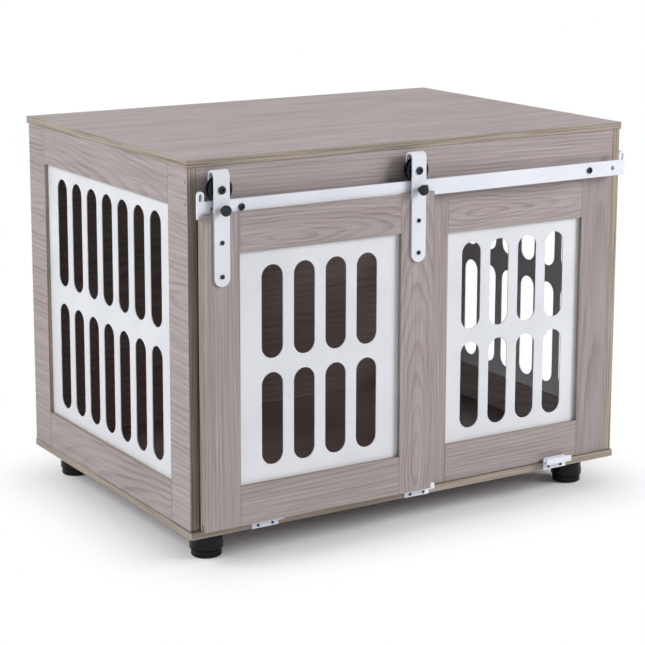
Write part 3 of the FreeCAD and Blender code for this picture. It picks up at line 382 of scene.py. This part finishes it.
@dataclass(frozen=True)
class PrintedLaminate:
    """Melamine-faced particle board with a taupe wood print and an ABS edge tape.

    The paper is printed with plain-sawn timber and pressed under clear resin by a
    grained plate. That gives the eye soft pinkish grey streaks with a few darker arch
    lines, a satin sheen that breaks up along the grain, and a khaki tape on each edge.
    The shares say how much each pattern darkens the print.
    """

    light: str = "#B4A9A8"
    middle: str = "#A59A99"
    dark: str = "#938786"
    deep: str = "#7C7070"
    tape_light: str = "#A99D8F"
    tape_dark: str = "#6D6155"
    # Darker brown backing colours for faces inside the cabin; their darkness is partly painted
    # shade.
    shaded_backing_light: str = "#7A6A68"
    shaded_backing_dark: str = "#5C4E4C"
    seam: str = "#5E564E"
    tape_mm: float = 0.9
    seam_mm: float = 0.5
    fibre_mm: float = 1.5
    fibre_run_mm: float = 80.0
    fibre_share: float = 0.44
    streak_mm: float = 3.4
    streak_run_mm: float = 170.0
    streak_share: float = 0.48
    streak_seed: float = 3.0
    cloud_mm: float = 13.0
    cloud_run_mm: float = 330.0
    cloud_share: float = 0.34
    cloud_seed: float = 7.0
    faint_lines: float = 0.08
    line_fade: tuple[float, float] = (0.38, 0.62)
    ring_drift: float = 0.12
    tape_line_mm: float = 1.6
    tape_run_mm: float = 160.0
    face_limit: float = 0.72
    shaded_backing_limit: float = 0.5
    rough: tuple[float, float] = (0.42, 0.56)
    emboss_mm: float = 0.12
    emboss: float = 0.22
    gloss: float = 0.4

    def material(self, name: str, cut: BoardCut) -> bpy.types.Material:
        """Make the laminate for one board.

        Args:
            name: The board's name.
            cut: How the print lies on the board.

        Returns:
            The board's material.
        """
        material, shader = new_material(f"taupe_wood_laminate_{name}")
        tree = material.node_tree
        place = add_node(tree, "ShaderNodeTexCoord")
        split = add_node(tree, "ShaderNodeSeparateXYZ", {0: place.outputs["Object"]})
        facing = add_node(tree, "ShaderNodeSeparateXYZ", {0: place.outputs["Normal"]})
        outward = facing.outputs[cut.thick.value]
        along, across, depth = (split.outputs[a.value] for a in (cut.grain, cut.across, cut.thick))
        joined = add_node(tree, "ShaderNodeCombineXYZ", {0: along, 1: across, 2: depth})
        board = joined.outputs[0]
        streak_mm = self.streak_mm * cut.coarse
        cloud_mm = self.cloud_mm * cut.coarse
        streak_seed = cut.seed + self.streak_seed
        cloud_seed = cut.seed + self.cloud_seed
        fibre = self._streaks(tree, board, self.fibre_run_mm, self.fibre_mm, cut.seed)
        streak = self._streaks(tree, board, self.streak_run_mm, streak_mm, streak_seed)
        cloud = self._streaks(tree, board, self.cloud_run_mm, cloud_mm, cloud_seed)
        rings, wander = self._rings(tree, board, along, across, cut)
        faded = remap(tree, wander, self.line_fade, (self.faint_lines, cut.lines), "SMOOTHSTEP")
        lines = calculate(tree, "MULTIPLY", rings, faded)
        grained = calculate(tree, "MULTIPLY_ADD", fibre, self.fibre_share, lines)
        streaked = calculate(tree, "MULTIPLY_ADD", streak, self.streak_share, grained)
        shade = calculate(tree, "MULTIPLY_ADD", cloud, self.cloud_share, streaked)
        colour = self._print(tree, shade, outward, cut)
        edge = self._taped(tree, name, split, outward, cut)
        colour = mix_colours(tree, edge, colour, self._tape(tree, place.outputs["Object"], cut))
        for axis, end in cut.seams:
            gap = self._rim(tree, name, split, axis, self.seam_mm, end)
            colour = mix_colours(tree, gap, colour, linear(self.seam))
        surface = {
            "Base Color": colour,
            "Roughness": remap(tree, fibre, NOISE_SPREAD, self.rough),
            "Normal": bump(tree, streaked, self.emboss, self.emboss_mm, invert=True),
            "IOR": RESIN_IOR,
            "Specular IOR Level": self.gloss,
        }
        feed(tree, shader, surface)
        return material

    def _streaks(
        self,
        tree: bpy.types.NodeTree,
        board: bpy.types.NodeSocket,
        run: float,
        width: float,
        seed: float,
    ) -> bpy.types.NodeSocket:
        """Draw long soft streaks along the grain.

        Args:
            tree: The board's node tree.
            board: The place on the board: along, across and through it.
            run: The length of a streak in millimetres.
            width: Its width in millimetres.
            seed: Moves the streaks, so that no two boards match.

        Returns:
            The streaks, from zero to one.
        """
        shift = [seed * step for step in STREAK_STEPS]
        return long_noise(tree, board, shift, (run, width, width), detail=3.0, roughness=0.6)

    def _rings(
        self,
        tree: bpy.types.NodeTree,
        board: bpy.types.NodeSocket,
        along: bpy.types.NodeSocket,
        across: bpy.types.NodeSocket,
        cut: BoardCut,
    ) -> tuple[bpy.types.NodeSocket, bpy.types.NodeSocket]:
        """Draw the growth rings where the board's face cuts through them.

        Args:
            tree: The board's node tree.
            board: The place on the board: along, across and through it.
            along: The place along the grain.
            across: The place across the grain.
            cut: How the print lies on the board.

        Returns:
            The dark ring lines from zero to one, and the slow wander that bends them.
        """
        sawn = RING_PRINTS[cut.figure]
        bend = sawn.bend * MM
        heart_along, heart_across = (length * MM for length in cut.heart)
        shift = [cut.seed * step for step in WANDER_STEPS]
        wander = long_noise(tree, board, shift, sawn.wander, detail=2.0, roughness=0.5)
        moved = calculate(tree, "MULTIPLY_ADD", wander, bend, across)
        centred = calculate(tree, "SUBTRACT", moved, heart_across + bend / 2)
        depth_at_heart = sawn.rise * MM - heart_along * sawn.tilt
        sunk = calculate(tree, "MULTIPLY_ADD", along, sawn.tilt, depth_at_heart)
        drift = calculate(tree, "MULTIPLY", along, self.ring_drift)
        trunk = add_node(tree, "ShaderNodeCombineXYZ", {0: drift, 1: centred, 2: sunk})
        wave = add_node(
            tree,
            "ShaderNodeTexWave",
            {
                "Vector": trunk.outputs[0],
                "Scale": WAVE_RING / (cut.ring * MM),
                "Distortion": sawn.distortion,
                "Detail": 3.0,
                "Detail Scale": sawn.distortion_scale,
            },
            wave_type="RINGS",
            rings_direction="X",
            wave_profile="SAW",
        )
        late_wood = colour_ramp(
            tree, wave.outputs["Fac"], (0.45, BLACK), (0.90, WHITE), (1.0, BLACK)
        )
        return late_wood, wander

    def _print(
        self,
        tree: bpy.types.NodeTree,
        shade: bpy.types.NodeSocket,
        outward: bpy.types.NodeSocket,
        cut: BoardCut,
    ) -> bpy.types.NodeSocket:
        """Colour the print, and the darker backing sheet whose darkness partly paints the cabin's
        shade.

        Args:
            tree: The board's node tree.
            shade: How dark the pattern is.
            outward: How far the surface faces through the board.
            cut: How the print lies on the board.

        Returns:
            The colour of the board's faces.
        """
        tones = (self.light, self.middle, self.dark, self.deep)
        inks = [linear(ink, cut.tone) for ink in tones]
        printed = colour_ramp(tree, shade, *zip((0.40, 0.60, 0.80, 1.00), inks))
        if cut.shaded_backing_face is None:
            return printed
        # Painted shade: faces that look into the cabin get the darker brown backing.
        test = "LESS_THAN" if cut.shaded_backing_face is End.LOW else "GREATER_THAN"
        shaded_face = calculate(tree, test, outward, self.shaded_backing_limit * cut.shaded_backing_face.value)
        light = (0.40, linear(self.shaded_backing_light))
        dark = (0.90, linear(self.shaded_backing_dark))
        return mix_colours(tree, shaded_face, printed, colour_ramp(tree, shade, light, dark))

    def _tape(
        self, tree: bpy.types.NodeTree, place: bpy.types.NodeSocket, cut: BoardCut
    ) -> bpy.types.NodeSocket:
        """Colour the edge tape, whose fine lines run along the edge.

        Args:
            tree: The board's node tree.
            place: The place on the crate.
            cut: How the print lies on the board.

        Returns:
            The tape's colour.
        """
        sizes = [self.tape_run_mm] * len(Axis)
        sizes[cut.thick.value] = self.tape_line_mm
        shift = (cut.seed, 0.0, cut.seed)
        fine = long_noise(tree, place, shift, sizes, detail=2.0, roughness=0.55)
        dark = (0.28, linear(self.tape_dark))
        light = (0.62, linear(self.tape_light))
        return colour_ramp(tree, fine, dark, light)

    def _rim(
        self,
        tree: bpy.types.NodeTree,
        board: str,
        split: bpy.types.Node,
        axis: Axis,
        width: float,
        end: End = End.BOTH,
    ) -> bpy.types.NodeSocket:
        """Find the strip along a board's edges at the ends of one direction.

        Args:
            tree: The board's node tree.
            board: The board's name.
            split: The place on the crate, one socket for each direction.
            axis: The direction.
            width: The strip's width in millimetres.
            end: The end that has the strip.

        Returns:
            One in the strip, and zero elsewhere.
        """
        low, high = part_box(board)
        middle = (low[axis.value] + high[axis.value]) / 2
        reach = (high[axis.value] - low[axis.value]) / 2 - width * MM
        away = calculate(tree, "SUBTRACT", split.outputs[axis.value], middle)
        if end is End.LOW:
            return calculate(tree, "LESS_THAN", away, -reach)
        if end is End.BOTH:
            away = calculate(tree, "ABSOLUTE", away)
        return calculate(tree, "GREATER_THAN", away, reach)

    def _taped(
        self,
        tree: bpy.types.NodeTree,
        board: str,
        split: bpy.types.Node,
        outward: bpy.types.NodeSocket,
        cut: BoardCut,
    ) -> bpy.types.NodeSocket:
        """Find the tape: the board's edges, and its thickness seen from the face.

        Args:
            tree: The board's node tree.
            board: The board's name.
            split: The place on the crate, one socket for each direction.
            outward: How far the surface faces through the board.
            cut: How the print lies on the board.

        Returns:
            One on the tape, and zero elsewhere.
        """
        facing = calculate(tree, "ABSOLUTE", outward)
        found = calculate(tree, "LESS_THAN", facing, self.face_limit)
        for axis in (cut.grain, cut.across):
            strip = self._rim(tree, board, split, axis, self.tape_mm)
            found = calculate(tree, "MAXIMUM", found, strip)
        return found


@dataclass(frozen=True)
class PowderCoat:
    """White polyester powder coat, sprayed dry on steel and baked.

    The powder melts into a thick even skin with a faint orange peel, so the eye gets a
    cool satin white whose highlights are soft and very slightly mottled.
    """

    name: str
    bright: str
    soft: str
    rough: tuple[float, float] = (0.36, 0.46)
    cloud_mm: float = 90.0
    peel_mm: float = 1.6
    peel_depth_mm: float = 0.02
    peel: float = 0.25

    def material(self) -> bpy.types.Material:
        """Make the coat's material.

        Returns:
            The material.
        """
        material, shader = new_material(self.name)
        tree = material.node_tree
        place = add_node(tree, "ShaderNodeTexCoord").outputs["Object"]
        cloud = noise(tree, place, self.cloud_mm, detail=2.0)
        peel = noise(tree, place, self.peel_mm, detail=1.0)
        soft = (0.3, linear(self.soft))
        bright = (0.7, linear(self.bright))
        surface = {
            "Base Color": colour_ramp(tree, cloud, soft, bright),
            "Roughness": remap(tree, cloud, NOISE_SPREAD, self.rough),
            "Normal": bump(tree, peel, self.peel, self.peel_depth_mm),
            "IOR": RESIN_IOR,
        }
        feed(tree, shader, surface)
        return material


@dataclass(frozen=True)
class MouldedPlastic:
    """Black ABS and nylon, injection moulded in a spark-textured tool.

    The tool leaves a fine even grain, so the eye gets a near-black with a broad grey
    sheen and slightly greyer, rubbed high spots.
    """

    name: str
    base: str
    rubbed: str
    rough: tuple[float, float] = (0.30, 0.44)
    handled_mm: float = 9.0
    grain_mm: float = 0.7
    grain_depth_mm: float = 0.03
    grain: float = 0.3
    gloss: float = 0.28
    ior: float = 1.52

    def material(self) -> bpy.types.Material:
        """Make the plastic's material.

        Returns:
            The material.
        """
        material, shader = new_material(self.name)
        tree = material.node_tree
        place = add_node(tree, "ShaderNodeTexCoord").outputs["Object"]
        grain = noise(tree, place, self.grain_mm, detail=2.0)
        handled = noise(tree, place, self.handled_mm, detail=3.0)
        base = (0.38, linear(self.base))
        rubbed = (0.75, linear(self.rubbed))
        smooth, rough = self.rough
        surface = {
            "Base Color": colour_ramp(tree, handled, base, rubbed),
            "Roughness": remap(tree, handled, NOISE_SPREAD, (rough, smooth)),
            "Normal": bump(tree, grain, self.grain, self.grain_depth_mm),
            "IOR": self.ior,
            "Specular IOR Level": self.gloss,
        }
        feed(tree, shader, surface)
        return material


@dataclass(frozen=True)
class PlatedSteel:
    """Steel fixings, turned or pressed and then plated or blackened in a bath.

    The bath leaves a thin metal or oxide skin over fine tool marks, so the eye gets a
    broken, streaky glint that is bluish on zinc and almost black on oxide. Hollows such
    as a driver socket get painted shade: an occlusion test darkens them to almost black.
    """

    name: str
    bright: str
    dull: str
    rough: tuple[float, float]
    oil: float = 0.0
    oil_rough: float = 0.18
    bloom_mm: float = 6.0
    mark_mm: float = 0.9
    mark_depth_mm: float = 0.02
    mark: float = 0.2
    # The near-black painted shade for hollows, how far the occlusion test looks, and where it fades
    # out.
    painted_hollow_shade: str = "#050506"
    hollow_shade_reach_mm: float = 2.5
    hollow_shade_fade: tuple[float, float] = (0.45, 0.85)

    def material(self) -> bpy.types.Material:
        """Make the steel's material.

        Returns:
            The material.
        """
        material, shader = new_material(self.name)
        tree = material.node_tree
        place = add_node(tree, "ShaderNodeTexCoord").outputs["Object"]
        marks = noise(tree, place, self.mark_mm, detail=4.0)
        bloom = noise(tree, place, self.bloom_mm, detail=2.0)
        dull = (0.32, linear(self.dull))
        bright = (0.68, linear(self.bright))
        skin = colour_ramp(tree, bloom, dull, bright)
        # Painted shade: an occlusion test darkens driver sockets and other hollows to almost black.
        distance = {"Distance": self.hollow_shade_reach_mm * MM}
        occlusion = add_node(tree, "ShaderNodeAmbientOcclusion", distance, only_local=True)
        unshaded_share = remap(tree, occlusion.outputs["AO"], self.hollow_shade_fade, (0.0, 1.0))
        surface = {
            "Base Color": mix_colours(tree, unshaded_share, linear(self.painted_hollow_shade), skin),
            "Roughness": remap(tree, marks, NOISE_SPREAD, self.rough),
            "Normal": bump(tree, marks, self.mark, self.mark_depth_mm),
            "Metallic": 1.0,
            "Coat Weight": self.oil,
            "Coat Roughness": self.oil_rough,
        }
        feed(tree, shader, surface)
        return material


@dataclass(frozen=True)
class FlutedBeech:
    """Beech dowels, milled with flutes and left bare.

    Bare beech gives the eye a pale warm tan with short darker flecks along the pin.
    """

    name: str = "bare_beech_dowel"
    pale: str = "#D8BA92"
    fleck: str = "#B58F62"
    fleck_mm: float = 0.8
    fleck_depth_mm: float = 0.05
    flute: float = 0.3
    rough: float = 0.7

    def material(self) -> bpy.types.Material:
        """Make the dowel's material.

        Returns:
            The material.
        """
        material, shader = new_material(self.name)
        tree = material.node_tree
        place = add_node(tree, "ShaderNodeTexCoord").outputs["Object"]
        flecks = noise(tree, place, self.fleck_mm, detail=3.0)
        fleck = (0.35, linear(self.fleck))
        pale = (0.62, linear(self.pale))
        surface = {
            "Base Color": colour_ramp(tree, flecks, fleck, pale),
            "Roughness": self.rough,
            "Normal": bump(tree, flecks, self.flute, self.fleck_depth_mm),
        }
        feed(tree, shader, surface)
        return material


Finish = PowderCoat | MouldedPlastic | PlatedSteel | FlutedBeech


@dataclass
class FinishShelf:
    """Every finish of the crate, each made once and then shared."""

    laminate: PrintedLaminate = PrintedLaminate()
    made: dict[str, bpy.types.Material] = field(default_factory=dict)

    def take(self, finish: Finish) -> bpy.types.Material:
        """Give a finish's material, and make it at the first call.

        Args:
            finish: The finish.

        Returns:
            Its material.
        """
        if finish.name not in self.made:
            self.made[finish.name] = finish.material()
        return self.made[finish.name]


WHITE_PANEL = PowderCoat(
    "white_powder_coat_sheet", bright="#E1E3E7", soft="#D9DBE0", peel_mm=2.2
)
WHITE_STEEL = PowderCoat(
    "white_powder_coat_flat_bar", bright="#E6E9F0", soft="#DDE0E7", rough=(0.30, 0.40)
)
BLACK_FOOT = MouldedPlastic(
    "black_abs_moulded_foot", base="#08090C", rubbed="#111318", gloss=0.22
)
BLACK_WHEEL = MouldedPlastic(
    "black_nylon_moulded_wheel", base="#101114", rubbed="#1B1D22", rough=(0.22, 0.32)
)
BLACK_KNOB = PlatedSteel(
    "black_oxide_steel_knob", bright="#2C2F37", dull="#191B20", rough=(0.24, 0.36), oil=0.5
)
BLACK_BOLT = PlatedSteel(
    "black_oxide_steel_bolt", bright="#3C3F47", dull="#25272C", rough=(0.22, 0.34), oil=0.2
)
ZINC_STEEL = PlatedSteel(
    "zinc_plated_steel", bright="#9A9EA2", dull="#74787C", rough=(0.24, 0.42)
)
BLUE_ZINC = PlatedSteel(
    "blue_zinc_plated_screw", bright="#4E5A70", dull="#343D50", rough=(0.28, 0.44)
)
BEECH = FlutedBeech()


def dress(node: str, material: bpy.types.Material) -> bpy.types.Object:
    """Give a CAD node one material on every slot.

    Args:
        node: The node's name.
        material: Its finish.

    Returns:
        The node's object.
    """
    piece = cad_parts[node]
    if not piece.material_slots:
        piece.data.materials.append(material)
    for slot in piece.material_slots:
        slot.material = material
    log.info("%s wears %s", node, material.name)
    return piece


def ease_edges(piece: bpy.types.Object, width: float, segments: int = 2) -> None:
    """Round a piece's sharp edges as the maker's sander or die does.

    Args:
        piece: The piece to round.
        width: The width of the rounding in millimetres.
        segments: How many strips make the rounding.
    """
    weld = piece.modifiers.new("joined_faces", "WELD")
    weld.merge_threshold = WELD_MM * MM
    flat = piece.modifiers.new("whole_faces", "DECIMATE")
    flat.decimate_type = "DISSOLVE"
    flat.angle_limit = FLAT_FOLD
    bevel = piece.modifiers.new("eased_edges", "BEVEL")
    bevel.width = width * MM
    bevel.segments = segments
    bevel.limit_method = "ANGLE"
    bevel.angle_limit = SHARP_FOLD
    even = piece.modifiers.new("even_shading", "WEIGHTED_NORMAL")
    even.weight = LARGEST_FACE


@dataclass
class Carcass:
    """The top and base boards, the back panel and the header rail."""

    shelf: FinishShelf
    edge: float = 0.8

    def dress(self) -> None:
        """Lay the print along the width of each board."""
        straight = Figure.QUARTER_SAWN
        arched = Figure.PLAIN_SAWN
        flat = (Axis.WIDTH, Axis.DEPTH, Axis.HEIGHT, straight)
        upright = (Axis.WIDTH, Axis.HEIGHT, Axis.DEPTH)
        under_top = ((Axis.HEIGHT, End.HIGH),)
        cuts = {
            "top_board": BoardCut(*flat, (0, 700), 3.1, ring=13.0, lines=0.34, coarse=1.5),
            # The base and back panel get the darker backing on their cabin side, partly painted
            # shade.
            "base_board": BoardCut(
                *flat, (0, 500), 5.3, ring=13.0, lines=0.34, coarse=1.5, shaded_backing_face=End.HIGH
            ),
            "back_panel": BoardCut(*upright, arched, (60, 330), 8.2, ring=12.0, shaded_backing_face=End.LOW),
            # The header rail is drawn lighter than the print: painted light against the shade of
            # the top's overhang and the hangers.
            "header_rail": BoardCut(
                *upright, straight, (0, 480), 1.4, tone=1.08, ring=6.0, lines=0.2, seams=under_top
            ),
        }
        for node, cut in cuts.items():
            piece = dress(node, self.shelf.laminate.material(node, cut))
            ease_edges(piece, self.edge)


@dataclass
class FramedPanel:
    """Two stiles, two rails and the slotted white sheet that they hold."""

    shelf: FinishShelf
    prefix: str
    stiles: dict[str, BoardCut]
    rails: dict[str, BoardCut]
    edge: float = 0.9
    sheet_edge: float = 0.35

    def dress(self) -> None:
        """Finish the frame's boards, its sheet and its dowels."""
        for part, cut in {**self.stiles, **self.rails}.items():
            node = f"{self.prefix}_{part}"
            piece = dress(node, self.shelf.laminate.material(node, cut))
            ease_edges(piece, self.edge)
        sheet = dress(f"{self.prefix}_slotted_panel", self.shelf.take(WHITE_PANEL))
        ease_edges(sheet, self.sheet_edge)
        dress(f"{self.prefix}_dowels", self.shelf.take(BEECH))


def front_panel(
    shelf: FinishShelf, prefix: str, middle: float, seed: float, right: Figure, tone: float
) -> FramedPanel:
    """Describe a framed panel of the front, with upright stiles and level rails.

    Args:
        shelf: The finishes.
        prefix: The panel's name in the CAD.
        middle: The panel's middle along the width, in millimetres.
        seed: Moves the print.
        right: The figure of the right stile.
        tone: How much lighter or darker than the print the right stile is drawn; on the fixed panel
            it is painted shade that holds back the front lamp's light.

    Returns:
        The panel.
    """
    upright = (Axis.HEIGHT, Axis.WIDTH, Axis.DEPTH)
    level = (Axis.WIDTH, Axis.HEIGHT, Axis.DEPTH)
    straight = Figure.QUARTER_SAWN
    arched = Figure.PLAIN_SAWN
    joints = ((Axis.WIDTH, End.BOTH),)
    return FramedPanel(
        shelf,
        prefix,
        stiles={
            "left_stile": BoardCut(
                *upright, straight, (300, middle - 330), seed, ring=6.0, lines=0.16
            ),
            "right_stile": BoardCut(*upright, right, (120, middle + 182), seed + 1.7, tone=tone),
        },
        rails={
            "top_rail": BoardCut(
                *level, arched, (middle - 60, 522), seed + 2.9, tone=1.04, seams=joints
            ),
            "bottom_rail": BoardCut(
                *level, straight, (middle, 170), seed + 4.3, ring=5.5, lines=0.18, seams=joints
            ),
        },
    )


def side_panel(shelf: FinishShelf, side: Side, seed: float) -> FramedPanel:
    """Describe a framed panel of one end, whose print all runs along the depth.

    Args:
        shelf: The finishes.
        side: The end of the crate.
        seed: Moves the print.

    Returns:
        The panel.
    """
    level = (Axis.DEPTH, Axis.HEIGHT, Axis.WIDTH)
    arched = Figure.PLAIN_SAWN
    joints = (Axis.DEPTH, End.BOTH)
    boards = ((Axis.HEIGHT, End.BOTH),)
    above = (joints, (Axis.HEIGHT, End.HIGH))
    below = (joints, (Axis.HEIGHT, End.LOW))
    return FramedPanel(
        shelf,
        side.value,
        stiles={
            "front_stile": BoardCut(
                *level, arched, (-420, 430), seed, tone=1.07, ring=9.0, seams=boards
            ),
            "rear_stile": BoardCut(*level, arched, (300, 330), seed + 1.3, ring=9.0, seams=boards),
        },
        rails={
            "top_rail": BoardCut(
                *level, arched, (420, 548), seed + 2.1, ring=8.0, lines=0.28, seams=above
            ),
            "bottom_rail": BoardCut(
                *level, arched, (-480, 52), seed + 3.7, ring=10.0, lines=0.26, seams=below
            ),
        },
    )


@dataclass
class SlidingGear:
    """The track on the header, the door's two hangers, and the guides on the base."""

    shelf: FinishShelf
    steel_edge: float = 0.4

    def dress(self) -> None:
        """Finish the track, straps, wheels, locks and guides."""
        white = self.shelf.take(WHITE_STEEL)
        for node in ("left_bottom_guide", "middle_bottom_guide", "right_bottom_guide"):
            ease_edges(dress(node, white), self.steel_edge)
        ease_edges(dress("track_bar", white), self.steel_edge)
        for side in Side:
            ease_edges(dress(f"{side.value}_hanger_strap", white), self.steel_edge)
            dress(f"{side.value}_wheel", self.shelf.take(BLACK_WHEEL))
            dress(f"{side.value}_lock_knob", self.shelf.take(BLACK_KNOB))
            dress(f"{side.value}_lock_stud", self.shelf.take(ZINC_STEEL))
        for node in ("track_bolts", "axle_bolts", "strap_screws"):
            dress(node, self.shelf.take(BLACK_BOLT))
        dress("guide_screws", self.shelf.take(BLUE_ZINC))
        for node in ("track_spacers", "axle_sleeves", "axle_nuts"):
            dress(node, self.shelf.take(ZINC_STEEL))


@dataclass
class FeetAndFixings:
    """The four round feet, and the screws and dowels that hold the boards."""

    shelf: FinishShelf
    rows: tuple[str, ...] = ("front", "rear")

    def dress(self) -> None:
        """Finish the feet and the small fixings."""
        for row in self.rows:
            for side in Side:
                dress(f"{row}_{side.value}_foot", self.shelf.take(BLACK_FOOT))
        for node in ("foot_screws", "header_screws", "base_screws"):
            dress(node, self.shelf.take(ZINC_STEEL))
        for node in ("top_dowels", "header_dowels"):
            dress(node, self.shelf.take(BEECH))


@dataclass
class SoftLamp:
    """One large square studio lamp. Lengths are in metres.

    The lamps are cross-polarised: they light a surface but leave no mirrored glare on
    it, so a board looks the same from every side, and gloss shows the white surroundings.
    """

    name: str
    place: tuple[float, float, float]
    width: float
    watts: float
    aim: tuple[float, float, float] = (0.0, 0.0, 0.3)

    def build(self) -> bpy.types.Object:
        """Hang the lamp.

        Returns:
            The lamp's object.
        """
        data = bpy.data.lights.new(self.name, "AREA")
        data.size = self.width
        data.energy = self.watts
        lamp = bpy.data.objects.new(self.name, data)
        bpy.context.scene.collection.objects.link(lamp)
        lamp.location = self.place
        lamp.visible_glossy = False
        towards = Vector(self.aim) - Vector(self.place)
        lamp.rotation_mode = "QUATERNION"
        lamp.rotation_quaternion = towards.to_track_quat("-Z", "Y")
        return lamp


@dataclass
class Studio:
    """The pale floor, the soft light and the white surroundings.

    Lengths are in metres. The floor keeps the crate's shadow within the shadow's half
    width and depth, and fades to plain white beyond them.
    """

    floor_half: float = 14.0
    sky: float = 0.22
    floor_colour: str = "#F7F8FB"
    shadow_half: tuple[float, float] = (0.34, 0.22)
    fade: float = 0.23
    lamps: tuple[SoftLamp, ...] = (
        SoftLamp("top_lamp", place=(-0.3, 0.2, 3.4), width=2.6, watts=2.0),
        SoftLamp("left_lamp", place=(-3.1, 0.4, 2.2), width=1.8, watts=74.0),
        SoftLamp("front_lamp", place=(3.5, -3.0, 2.35), width=2.0, watts=210.0),
        SoftLamp("rear_lamp", place=(-0.4, 4.2, 1.4), width=1.8, watts=48.0),
    )

    def build(self) -> None:
        """Set up the world, the lamps and the floor."""
        self._surround()
        for lamp in self.lamps:
            log.info("lamp %s", lamp.build().name)
        self._floor()

    def _surround(self) -> None:
        """Light the scene evenly, and show plain white behind it."""
        world = bpy.data.worlds.new("white_studio")
        bpy.context.scene.world = world
        world.use_nodes = True
        tree = world.node_tree
        tree.nodes.clear()
        strength = remap(tree, self._seen(tree), (0.0, 1.0), (self.sky, 1.0))
        sky = add_node(tree, "ShaderNodeBackground", {"Color": WHITE, "Strength": strength})
        add_node(tree, "ShaderNodeOutputWorld", {"Surface": sky.outputs[0]})

    def _seen(self, tree: bpy.types.NodeTree) -> bpy.types.NodeSocket:
        """Tell where the surroundings are seen, straight on or in a reflection.

        Args:
            tree: The tree that asks.

        Returns:
            One for a ray that shows the surroundings, and zero for one that lights.
        """
        path = add_node(tree, "ShaderNodeLightPath").outputs
        direct = calculate(tree, "MAXIMUM", path["Is Camera Ray"], path["Is Glossy Ray"])
        return calculate(tree, "MAXIMUM", direct, path["Is Transmission Ray"])

    def _floor(self) -> None:
        """Lay the floor."""
        half = self.floor_half
        mesh = bpy.data.meshes.new("studio_floor")
        corners = [(-half, -half, 0.0), (half, -half, 0.0), (half, half, 0.0), (-half, half, 0.0)]
        mesh.from_pydata(corners, [], [(0, 1, 2, 3)])
        floor = bpy.data.objects.new("studio_floor", mesh)
        bpy.context.scene.collection.objects.link(floor)
        mesh.materials.append(self._floor_paint())

    def _floor_paint(self) -> bpy.types.Material:
        """Make the floor's paint, which keeps the crate's shadow and is white away from it.

        Returns:
            The paint's material.
        """
        material, shader = new_material("white_painted_floor")
        tree = material.node_tree
        paint = {"Roughness": 1.0, "Specular IOR Level": 0.0}
        feed(tree, shader, {"Base Color": linear(self.floor_colour), **paint})
        place = add_node(tree, "ShaderNodeTexCoord").outputs["Object"]
        kind = "ShaderNodeVectorMath"
        folded = add_node(tree, kind, {0: place}, operation="ABSOLUTE").outputs[0]
        shadow = (*self.shadow_half, 0.0)
        outside = add_node(tree, kind, {0: folded, 1: shadow}, operation="SUBTRACT").outputs[0]
        nought = (0.0, 0.0, 0.0)
        beyond = add_node(tree, kind, {0: outside, 1: nought}, operation="MAXIMUM").outputs[0]
        reach = add_node(tree, kind, {0: beyond}, operation="LENGTH").outputs["Value"]
        far = remap(tree, reach, (0.0, self.fade), (0.0, 1.0), "SMOOTHSTEP")
        open_floor = calculate(tree, "MULTIPLY", far, self._seen(tree))
        white = add_node(tree, "ShaderNodeEmission")
        layers = {0: open_floor, 1: shader.outputs[0], 2: white.outputs[0]}
        blend = add_node(tree, "ShaderNodeMixShader", layers)
        surface = next(n for n in tree.nodes if n.type == "OUTPUT_MATERIAL")
        feed(tree, surface, {"Surface": blend.outputs[0]})
        return material


@dataclass
class PhotoCamera:
    """The camera at the photograph's angle.

    The eye, the aim and the farthest sight are in metres, the lens and sensor in
    millimetres, and the shift is a share of the sensor's width.
    """

    eye: tuple[float, float, float] = (-1.7820, -2.8487, 1.0972)
    aim: tuple[float, float, float] = (-0.0107, 0.0, 0.4647)
    roll_degrees: float = 0.14
    lens: float = 108.81
    sensor: float = 36.0
    shift: float = -0.15
    farthest: float = 100.0

    def build(self) -> bpy.types.Object:
        """Place the camera and make it the scene's own.

        Returns:
            The camera's object.
        """
        data = bpy.data.cameras.new("photo_camera")
        data.sensor_width = self.sensor
        data.lens = self.lens
        data.shift_y = self.shift
        data.dof.use_dof = False
        data.clip_end = self.farthest
        camera = bpy.data.objects.new("photo_camera", data)
        bpy.context.scene.collection.objects.link(camera)
        ahead = (Vector(self.aim) - Vector(self.eye)).normalized()
        level = ahead.to_track_quat("-Z", "Y").to_matrix().to_4x4()
        turn = Matrix.Rotation(math.radians(self.roll_degrees), 4, "Z")
        camera.matrix_world = Matrix.Translation(self.eye) @ level @ turn
        bpy.context.scene.camera = camera
        return camera


def main() -> None:
    """Dress every part of the crate, then light it and set the camera."""
    logging.basicConfig(level=logging.INFO, format="%(message)s")
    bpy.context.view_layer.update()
    shelf = FinishShelf()
    Carcass(shelf).dress()
    side_panel(shelf, Side.LEFT, seed=2.3).dress()
    side_panel(shelf, Side.RIGHT, seed=9.1).dress()
    straight = Figure.QUARTER_SAWN
    arched = Figure.PLAIN_SAWN
    # The fixed panel's right stile is drawn darker than the print: painted shade that holds back
    # the front lamp's light.
    front_panel(shelf, "fixed", middle=203.0, seed=4.6, right=straight, tone=0.88).dress()
    front_panel(shelf, "door", middle=-198.2, seed=6.4, right=arched, tone=1.02).dress()
    SlidingGear(shelf).dress()
    FeetAndFixings(shelf).dress()
    Studio().build()
    log.info("camera %s", PhotoCamera().build().name)
    bpy.context.scene.view_settings.view_transform = "Standard"


if __name__ == "__main__":
    main()
